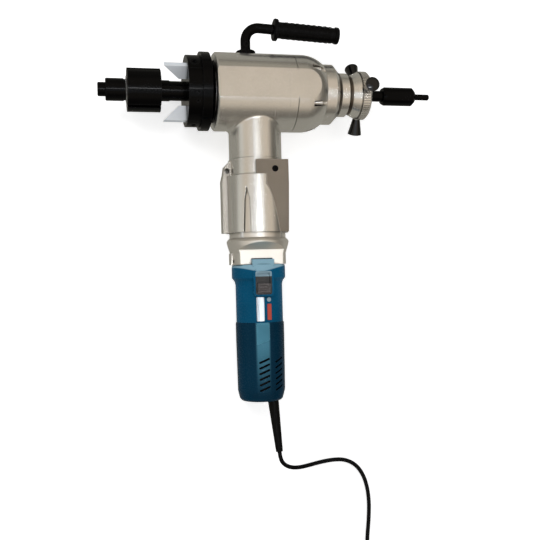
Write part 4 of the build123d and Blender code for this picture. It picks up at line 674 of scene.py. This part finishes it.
def bent_plate(name, middle, size, corner, radii, lift, material, skew=0.0):
    """A thin plate bent round the motor: its middle, and its size across and along.

    The radii are those of the motor below the plate's upper and lower ends, and skew moves the
    lower edge's right end up."""
    width, length = size
    bend = (radii[0] + radii[1]) / 2
    model = bmesh.new()
    corners = [model.verts.new((x, y, 0.0)) for x, y in rounded_outline(width, length, corner)]
    model.faces.new(corners)
    slices = max(2, round(width / PLATE_SLICE))
    for i in range(1, slices):
        faces = model.verts[:] + model.edges[:] + model.faces[:]
        bmesh.ops.bisect_plane(model, geom=faces, plane_co=(width * (i / slices - 0.5), 0, 0),
                               plane_no=(1, 0, 0))
    for vert in model.verts:
        x, y = vert.co.x, vert.co.y
        lower = 0.5 - y / length
        y += skew * lower * (0.5 + x / width)
        radius = radii[0] + (radii[1] - radii[0]) * lower
        angle = (middle[0] + x) / bend
        vert.co = upright(radius * math.sin(angle), y - middle[1], radius * math.cos(angle))
    bmesh.ops.recalc_face_normals(model, faces=model.faces[:])
    if sum((face.normal for face in model.faces), Vector()).z < 0:
        bmesh.ops.reverse_faces(model, faces=model.faces[:])
    plate = placed(name, mesh_from(name, model), "machine_frame", material)
    thick = plate.modifiers.new("thickness", "SOLIDIFY")
    thick.thickness = (lift + PLATE_SINK) * MM
    thick.offset = lift / (lift + PLATE_SINK) * 2 - 1
    soften(plate, PLATE_EDGE)


def make_trim():
    """The motor's bare strip, light and accent bar, and the rear cover's raised panel."""
    length = bpy.context.scene.beveler.strip_length / MM
    bent_plate("trim_strip", (STRIP_SIDE, STRIP_TOP + length / 2), (STRIP_WIDTH, length),
               STRIP_CORNER, MOTOR_RADII, PLATE_LIFT, "trim_silver")
    bent_plate("pilot_light", LIGHT_MIDDLE, LIGHT_SIZE, LIGHT_CORNER, MOTOR_RADII, LIGHT_LIFT,
               "pale_plastic")
    bent_plate("accent_bar", BAR_MIDDLE, BAR_SIZE, BAR_CORNER, MOTOR_RADII, PLATE_LIFT,
               "accent_red")
    bent_plate("cover_panel", PANEL_MIDDLE, PANEL_SIZE, PANEL_CORNER, TAIL_RADII, PLATE_LIFT,
               "panel_blue", PANEL_SKEW)


# The radius at each distance down and the thickness of the painted shade sheet behind the vents
SCREEN_PROFILE = [(31.2, 386.0), (31.2, 436.0), (28.6, 448.0)]
SCREEN_SIDES, SCREEN_THICKNESS = 64, 0.4


def make_vent_shade():
    """A dark sheet of painted shade behind the rear cover's vents, turned about the motor's axis.
    """
    model = bmesh.new()
    rings = []
    for radius, down in SCREEN_PROFILE:
        angles = [2 * math.pi * i / SCREEN_SIDES for i in range(SCREEN_SIDES)]
        rings.append([model.verts.new(upright(radius * math.cos(angle), -down,
                                              radius * math.sin(angle))) for angle in angles])
    for first, second in zip(rings, rings[1:]):
        for i in range(SCREEN_SIDES):
            after = (i + 1) % SCREEN_SIDES
            model.faces.new((first[i], first[after], second[after], second[i]))
    bmesh.ops.recalc_face_normals(model, faces=model.faces[:])
    for face in model.faces:
        face.smooth = True
    screen = placed("vent_screen", mesh_from("vent_screen", model), "machine_frame",
                    "cord_rubber")
    thick = screen.modifiers.new("thickness", "SOLIDIFY")
    thick.thickness = SCREEN_THICKNESS * MM


# Bars: the grip's ribs and the painted shade at the motor tongue's gap

BAR_FACES = ((3, 2, 1, 0), (4, 5, 6, 7), (0, 1, 5, 4), (1, 2, 6, 5), (2, 3, 7, 6), (3, 0, 4, 7))
ACROSS, UP, OUT = Vector((1, 0, 0)), Vector((0, 1, 0)), Vector((0, 0, 1))
GRIP_START, GRIP_HEIGHT, GRIP_RADIUS = -10.5, 98.0, 12.0
GRIP_FALL = math.tan(math.radians(3.1))
RIB_START, RIB_END, RIB_ROWS = 46.0, 122.0, 14
RIB_HALVES, RIB_LEVELS, RIB_EDGE = (2.4, 0.9), (-0.4, 0.5), 0.3
# The dark bar of painted shade at the tongue's gap: its place, size and edge
SHADE_BAR_DOWN, SHADE_BAR_HALVES, SHADE_BAR_LEVELS, SHADE_BAR_EDGE = 246.5, (15.6, 0.7), (26.2, 27.0), 0.2


def add_bar(model, middle, side, out, halves, levels):
    """A closed bar along X: its half length and width, and its lower and upper levels."""
    corners = []
    for level in levels:
        for x, y in ((-1, -1), (1, -1), (1, 1), (-1, 1)):
            point = middle + ACROSS * (x * halves[0]) + side * (y * halves[1]) + out * level
            corners.append(model.verts.new(upright(*point)))
    for face in BAR_FACES:
        model.faces.new([corners[i] for i in face])


def bar_piece(name, model, body, rubber, edge):
    """The bars of a model as one rubber piece, with softened edges."""
    bmesh.ops.recalc_face_normals(model, faces=model.faces[:])
    piece = placed(name, mesh_from(name, model), body, rubber)
    soften(piece, edge)


def make_grip_ribs():
    """Rows of short raised ribs round the rubber grip, each row half a step on."""
    model = bmesh.new()
    count = bpy.context.scene.beveler.grip_ribs
    for row in range(RIB_ROWS):
        angle = 2 * math.pi * row / RIB_ROWS
        out = Vector((0, math.cos(angle), math.sin(angle)))
        side = Vector((0, -math.sin(angle), math.cos(angle)))
        for i in range(count):
            along = (i + 0.5 * (row % 2) + 0.25) / count
            x = RIB_START + (RIB_END - RIB_START) * along
            axis = Vector((x, GRIP_HEIGHT - (x - GRIP_START) * GRIP_FALL, 0))
            add_bar(model, axis + out * GRIP_RADIUS, side, out, RIB_HALVES, RIB_LEVELS)
    bar_piece("grip_ribs", model, "handle", "grip_rubber", RIB_EDGE)


def make_tongue_gap_shade():
    """A thin dark bar of painted shade where the motor's tongue meets the adapter's flat."""
    model = bmesh.new()
    add_bar(model, Vector((0, -SHADE_BAR_DOWN, 0)), UP, OUT, SHADE_BAR_HALVES, SHADE_BAR_LEVELS)
    bar_piece("tongue_seal", model, "machine_frame", "cord_rubber", SHADE_BAR_EDGE)


# Stage

# Each part of the studio lies between two angles from straight up, with a soft border: boxes
# and slit first across the machine and then along it.
NARROW_BOX = ((-17.0, 1.0, 5.0), (3.0, 13.0, 3.5))
WIDE_BOX = ((-40.0, 17.0, 5.0), (-30.0, 4.0, 3.0))
SLIT = ((-9.0, 7.0, 3.0), (-7.2, -4.2, 0.8))
LEFT_WALL = (-105.0, -62.0, 10.0)
RIGHT_WALL = (56.0, 150.0, 14.0)
FAR_WALL = (50.0, 150.0, 14.0)
NEAR_WALL = (-150.0, -60.0, 14.0)
SLIT_TINT = colour(26.0, 26.4, 26.8)
BOX_TINT = colour(1.12, 1.16, 1.21)
ROOM_TINT = colour(0.73, 0.635, 0.52)
LEFT_TINT = colour(0.80, 0.80, 0.76)
FAR_TINT = colour(0.37, 0.34, 0.28)
NEAR_TINT = colour(0.20, 0.18, 0.15)
RIGHT_TINT = colour(0.11, 0.10, 0.08)
WHITE = colour(1, 1, 1)
PLAIN_LIGHT = 0.55
FLOOR_SIZE = 6.0
FLOOR_GLOW = 0.60
FLOOR_TINT, FLOOR_CLOUD = colour(0.90, 0.90, 0.90), colour(0.93, 0.93, 0.93)
FLOOR_GLOSS_TINT = colour(0.34, 0.33, 0.29)
LAMP_AIM = Vector((0.0, -0.15, 0.0))
KEY_PLACE, KEY_SIZE = Vector((-0.55, 0.45, 1.05)), 0.7
FILL_PLACE, FILL_SIZE, FILL_SHARE = Vector((0.95, -0.25, 0.95)), 0.9, 0.3
CAMERA_PLACE = (-0.237296, -0.321149, 1.098773)
CAMERA_TURN = Quaternion((0.993204, 0.027464, -0.111945, -0.016108))
CAMERA_LENS, CAMERA_SENSOR, CAMERA_NEAR = 51.125, 36.0, 0.01


def white_floor():
    """A pale floor that looks white to the camera and keeps the object's shadow."""
    made = Finish("pale_floor", roughness=0.9)
    made.set(Base_Color=made.mix(FLOOR_TINT, FLOOR_CLOUD, made.noise(scale=3.0, detail=3.0)))
    lit = made.node("ShaderNodeEmission", {}, {"Color": WHITE, "Strength": FLOOR_GLOW})
    plain = Wire(made, made.shader.outputs[0])
    both = made.node("ShaderNodeAddShader", {}, {0: plain, 1: lit})
    white = made.blend(made.looks_through(), plain, both)
    dim = made.node("ShaderNodeEmission", {}, {"Color": FLOOR_GLOSS_TINT, "Strength": 1.0})
    shown = made.blend(made.ray("Is Glossy Ray"), white, dim)
    made.tree.links.new(shown.socket, made.out.inputs["Surface"])
    return made.material


def make_floor():
    """The table under the machine."""
    model = bmesh.new()
    bmesh.ops.create_grid(model, x_segments=4, y_segments=4, size=FLOOR_SIZE)
    mesh = mesh_from("floor", model)
    mesh.materials.append(white_floor())
    floor = bpy.data.objects.new("floor", mesh)
    floor.location = (0.0, 0.0, TABLE_Z)
    bpy.context.scene.collection.objects.link(floor)


def make_world():
    """White for the camera, plain for diffuse light, and a studio with soft boxes for gloss."""
    world = bpy.data.worlds.new("soft_room")
    world.use_nodes = True
    room = Wiring(world.node_tree)
    out = room.tree.nodes.new("ShaderNodeOutputWorld")
    x, y, z = room.parts(room.node("ShaderNodeTexCoord", output="Generated"))
    across = room.angle_from_up(x, z)
    along = room.angle_from_up(y, z)

    def patch(sides, ends):
        return room.band(across, *sides) * room.band(along, *ends)

    studio = ROOM_TINT
    for tint, share in ((LEFT_TINT, room.band(across, *LEFT_WALL)),
                        (FAR_TINT, room.band(along, *FAR_WALL)),
                        (NEAR_TINT, room.band(along, *NEAR_WALL)),
                        (RIGHT_TINT, room.band(across, *RIGHT_WALL)),
                        (BOX_TINT, (patch(*NARROW_BOX) + patch(*WIDE_BOX)).clamped()),
                        (SLIT_TINT, patch(*SLIT))):
        studio = room.mix(studio, tint, share)
    plain = room.node("ShaderNodeBackground", {}, {"Color": WHITE, "Strength": PLAIN_LIGHT})
    white = room.node("ShaderNodeBackground", {}, {"Color": WHITE, "Strength": 1.0})
    glossy = room.node("ShaderNodeBackground", {}, {"Color": studio, "Strength": 1.0})
    light = room.blend(room.ray("Is Glossy Ray"), plain, glossy)
    shown = room.blend(room.looks_through(), light, white)
    room.tree.links.new(shown.socket, out.inputs["Surface"])
    world.cycles.sampling_method = "NONE"
    bpy.context.scene.world = world


def make_lamp(name, place, size, power):
    """A round lamp that lights plain colours and stays out of the reflections."""
    light = bpy.data.lights.new(name, "AREA")
    light.shape = "DISK"
    light.size = size
    light.energy = power
    lamp = bpy.data.objects.new(name, light)
    lamp.location = place
    lamp.rotation_euler = (LAMP_AIM - place).to_track_quat("-Z", "Y").to_euler()
    lamp.visible_camera = False
    lamp.visible_glossy = False
    bpy.context.scene.collection.objects.link(lamp)


def make_camera():
    """The photograph's own view."""
    data = bpy.data.cameras.new("photo_camera")
    data.lens = CAMERA_LENS
    data.sensor_width = CAMERA_SENSOR
    data.clip_start = CAMERA_NEAR
    camera = bpy.data.objects.new("photo_camera", data)
    camera.location = CAMERA_PLACE
    camera.rotation_mode = "QUATERNION"
    camera.rotation_quaternion = CAMERA_TURN
    bpy.context.scene.collection.objects.link(camera)
    bpy.context.scene.camera = camera


# Panel and operators

def tone(name, description, rgb):
    """A colour in the panel."""
    return bpy.props.FloatVectorProperty(name=name, description=description, default=rgb, min=0.0,
                                         max=1.0, size=3, subtype="COLOR")


class BevelerSettings(bpy.types.PropertyGroup):
    """The light, sizes and colours of the machine's looks"""
    lamp_power: bpy.props.FloatProperty(
        name="Lamp power", description="Power of the main lamp", default=5.0, min=0.0,
        unit="POWER")
    nickel: tone("Nickel", "Colour of the nickel plating", (0.70, 0.68, 0.64))
    adapter: tone("Adapter", "Colour of the motor adapter's plating", (0.78, 0.75, 0.70))
    bracket: tone("Bracket", "Colour of the clamp bracket's dull face", (0.22, 0.185, 0.145))
    tool: tone("Bevel tools", "Colour of the ground tool steel", (0.86, 0.91, 0.97))
    housing: tone("Motor housing", "Colour of the motor's housing", (0.0016, 0.085, 0.175))
    tail: tone("Motor cover", "Colour of the motor's rear cover", (0.0008, 0.028, 0.058))
    # Also the colour of the painted highlight down the middle of the rear cover
    tail_panel_and_highlight: tone("Cover panel", "Colour of the rear cover's raised panel",
                     (0.085, 0.270, 0.370))
    # The colour of the painted highlight on the band in front of the switch
    apron_highlight_tint: tone("Apron", "Colour of the band in front of the switch", (0.27, 0.46, 0.56))
    trim: tone("Trim strip", "Colour of the bare trim strip", (0.50, 0.55, 0.60))
    accent: tone("Accent bar", "Colour of the plain bar beside the strip", (0.55, 0.07, 0.04))
    grip_ribs: bpy.props.IntProperty(
        name="Grip ribs", description="Ribs in each row along the grip", default=9, min=1, max=20)
    strip_length: bpy.props.FloatProperty(
        name="Strip length", description="Length of the bare trim strip", default=35.0 * MM,
        min=10.0 * MM, unit="LENGTH")


class BEVELER_OT_stage(bpy.types.Operator):
    """Make the floor, the room light, the lamps and the camera"""
    bl_idname = "beveler.stage"
    bl_label = "Stage"

    def execute(self, context):
        power = context.scene.beveler.lamp_power
        make_floor()
        make_world()
        make_lamp("key_lamp", KEY_PLACE, KEY_SIZE, power)
        make_lamp("fill_lamp", FILL_PLACE, FILL_SIZE, power * FILL_SHARE)
        make_camera()
        context.scene.view_settings.view_transform = "Standard"
        return {"FINISHED"}


class BEVELER_OT_finishes(bpy.types.Operator):
    """Give every part of the machine its finish"""
    bl_idname = "beveler.finishes"
    bl_label = "Finishes"

    def execute(self, context):
        for name, nodes in WEARS.items():
            for node in nodes:
                wear(node, finish(name))
        return {"FINISHED"}


class BEVELER_OT_cord(bpy.types.Operator):
    """Lay the power lead, coiled below the machine"""
    bl_idname = "beveler.cord"
    bl_label = "Power lead"

    def execute(self, context):
        make_cord()
        return {"FINISHED"}


class BEVELER_OT_trim(bpy.types.Operator):
    """Make the motor's thin plates, and the painted shade behind its vents and at its tongue"""
    bl_idname = "beveler.trim"
    bl_label = "Motor trim"

    def execute(self, context):
        make_trim()
        make_vent_shade()
        make_tongue_gap_shade()
        return {"FINISHED"}


class BEVELER_OT_grip(bpy.types.Operator):
    """Raise the rubber grip's short ribs"""
    bl_idname = "beveler.grip"
    bl_label = "Grip ribs"

    def execute(self, context):
        make_grip_ribs()
        return {"FINISHED"}


OPERATORS = (BEVELER_OT_stage, BEVELER_OT_finishes, BEVELER_OT_cord, BEVELER_OT_trim,
             BEVELER_OT_grip)


class BEVELER_PT_panel(bpy.types.Panel):
    """The machine's sizes, colours and makers"""
    bl_idname = "BEVELER_PT_panel"
    bl_label = "Pipe Beveling Machine"
    bl_space_type = "VIEW_3D"
    bl_region_type = "UI"
    bl_category = "Beveler"

    def draw(self, context):
        column = self.layout.column()
        for setting in BevelerSettings.__annotations__:
            column.prop(context.scene.beveler, setting)
        for operator in OPERATORS:
            column.operator(operator.bl_idname)


CLASSES = (BevelerSettings, *OPERATORS, BEVELER_PT_panel)


def register():
    for one in CLASSES:
        bpy.utils.register_class(one)
    bpy.types.Scene.beveler = bpy.props.PointerProperty(type=BevelerSettings)


def unregister():
    del bpy.types.Scene.beveler
    for one in reversed(CLASSES):
        bpy.utils.unregister_class(one)


def main():
    register()
    bpy.ops.beveler.stage()
    bpy.ops.beveler.finishes()
    bpy.ops.beveler.cord()
    bpy.ops.beveler.trim()
    bpy.ops.beveler.grip()


if __name__ == "__main__":
    main()
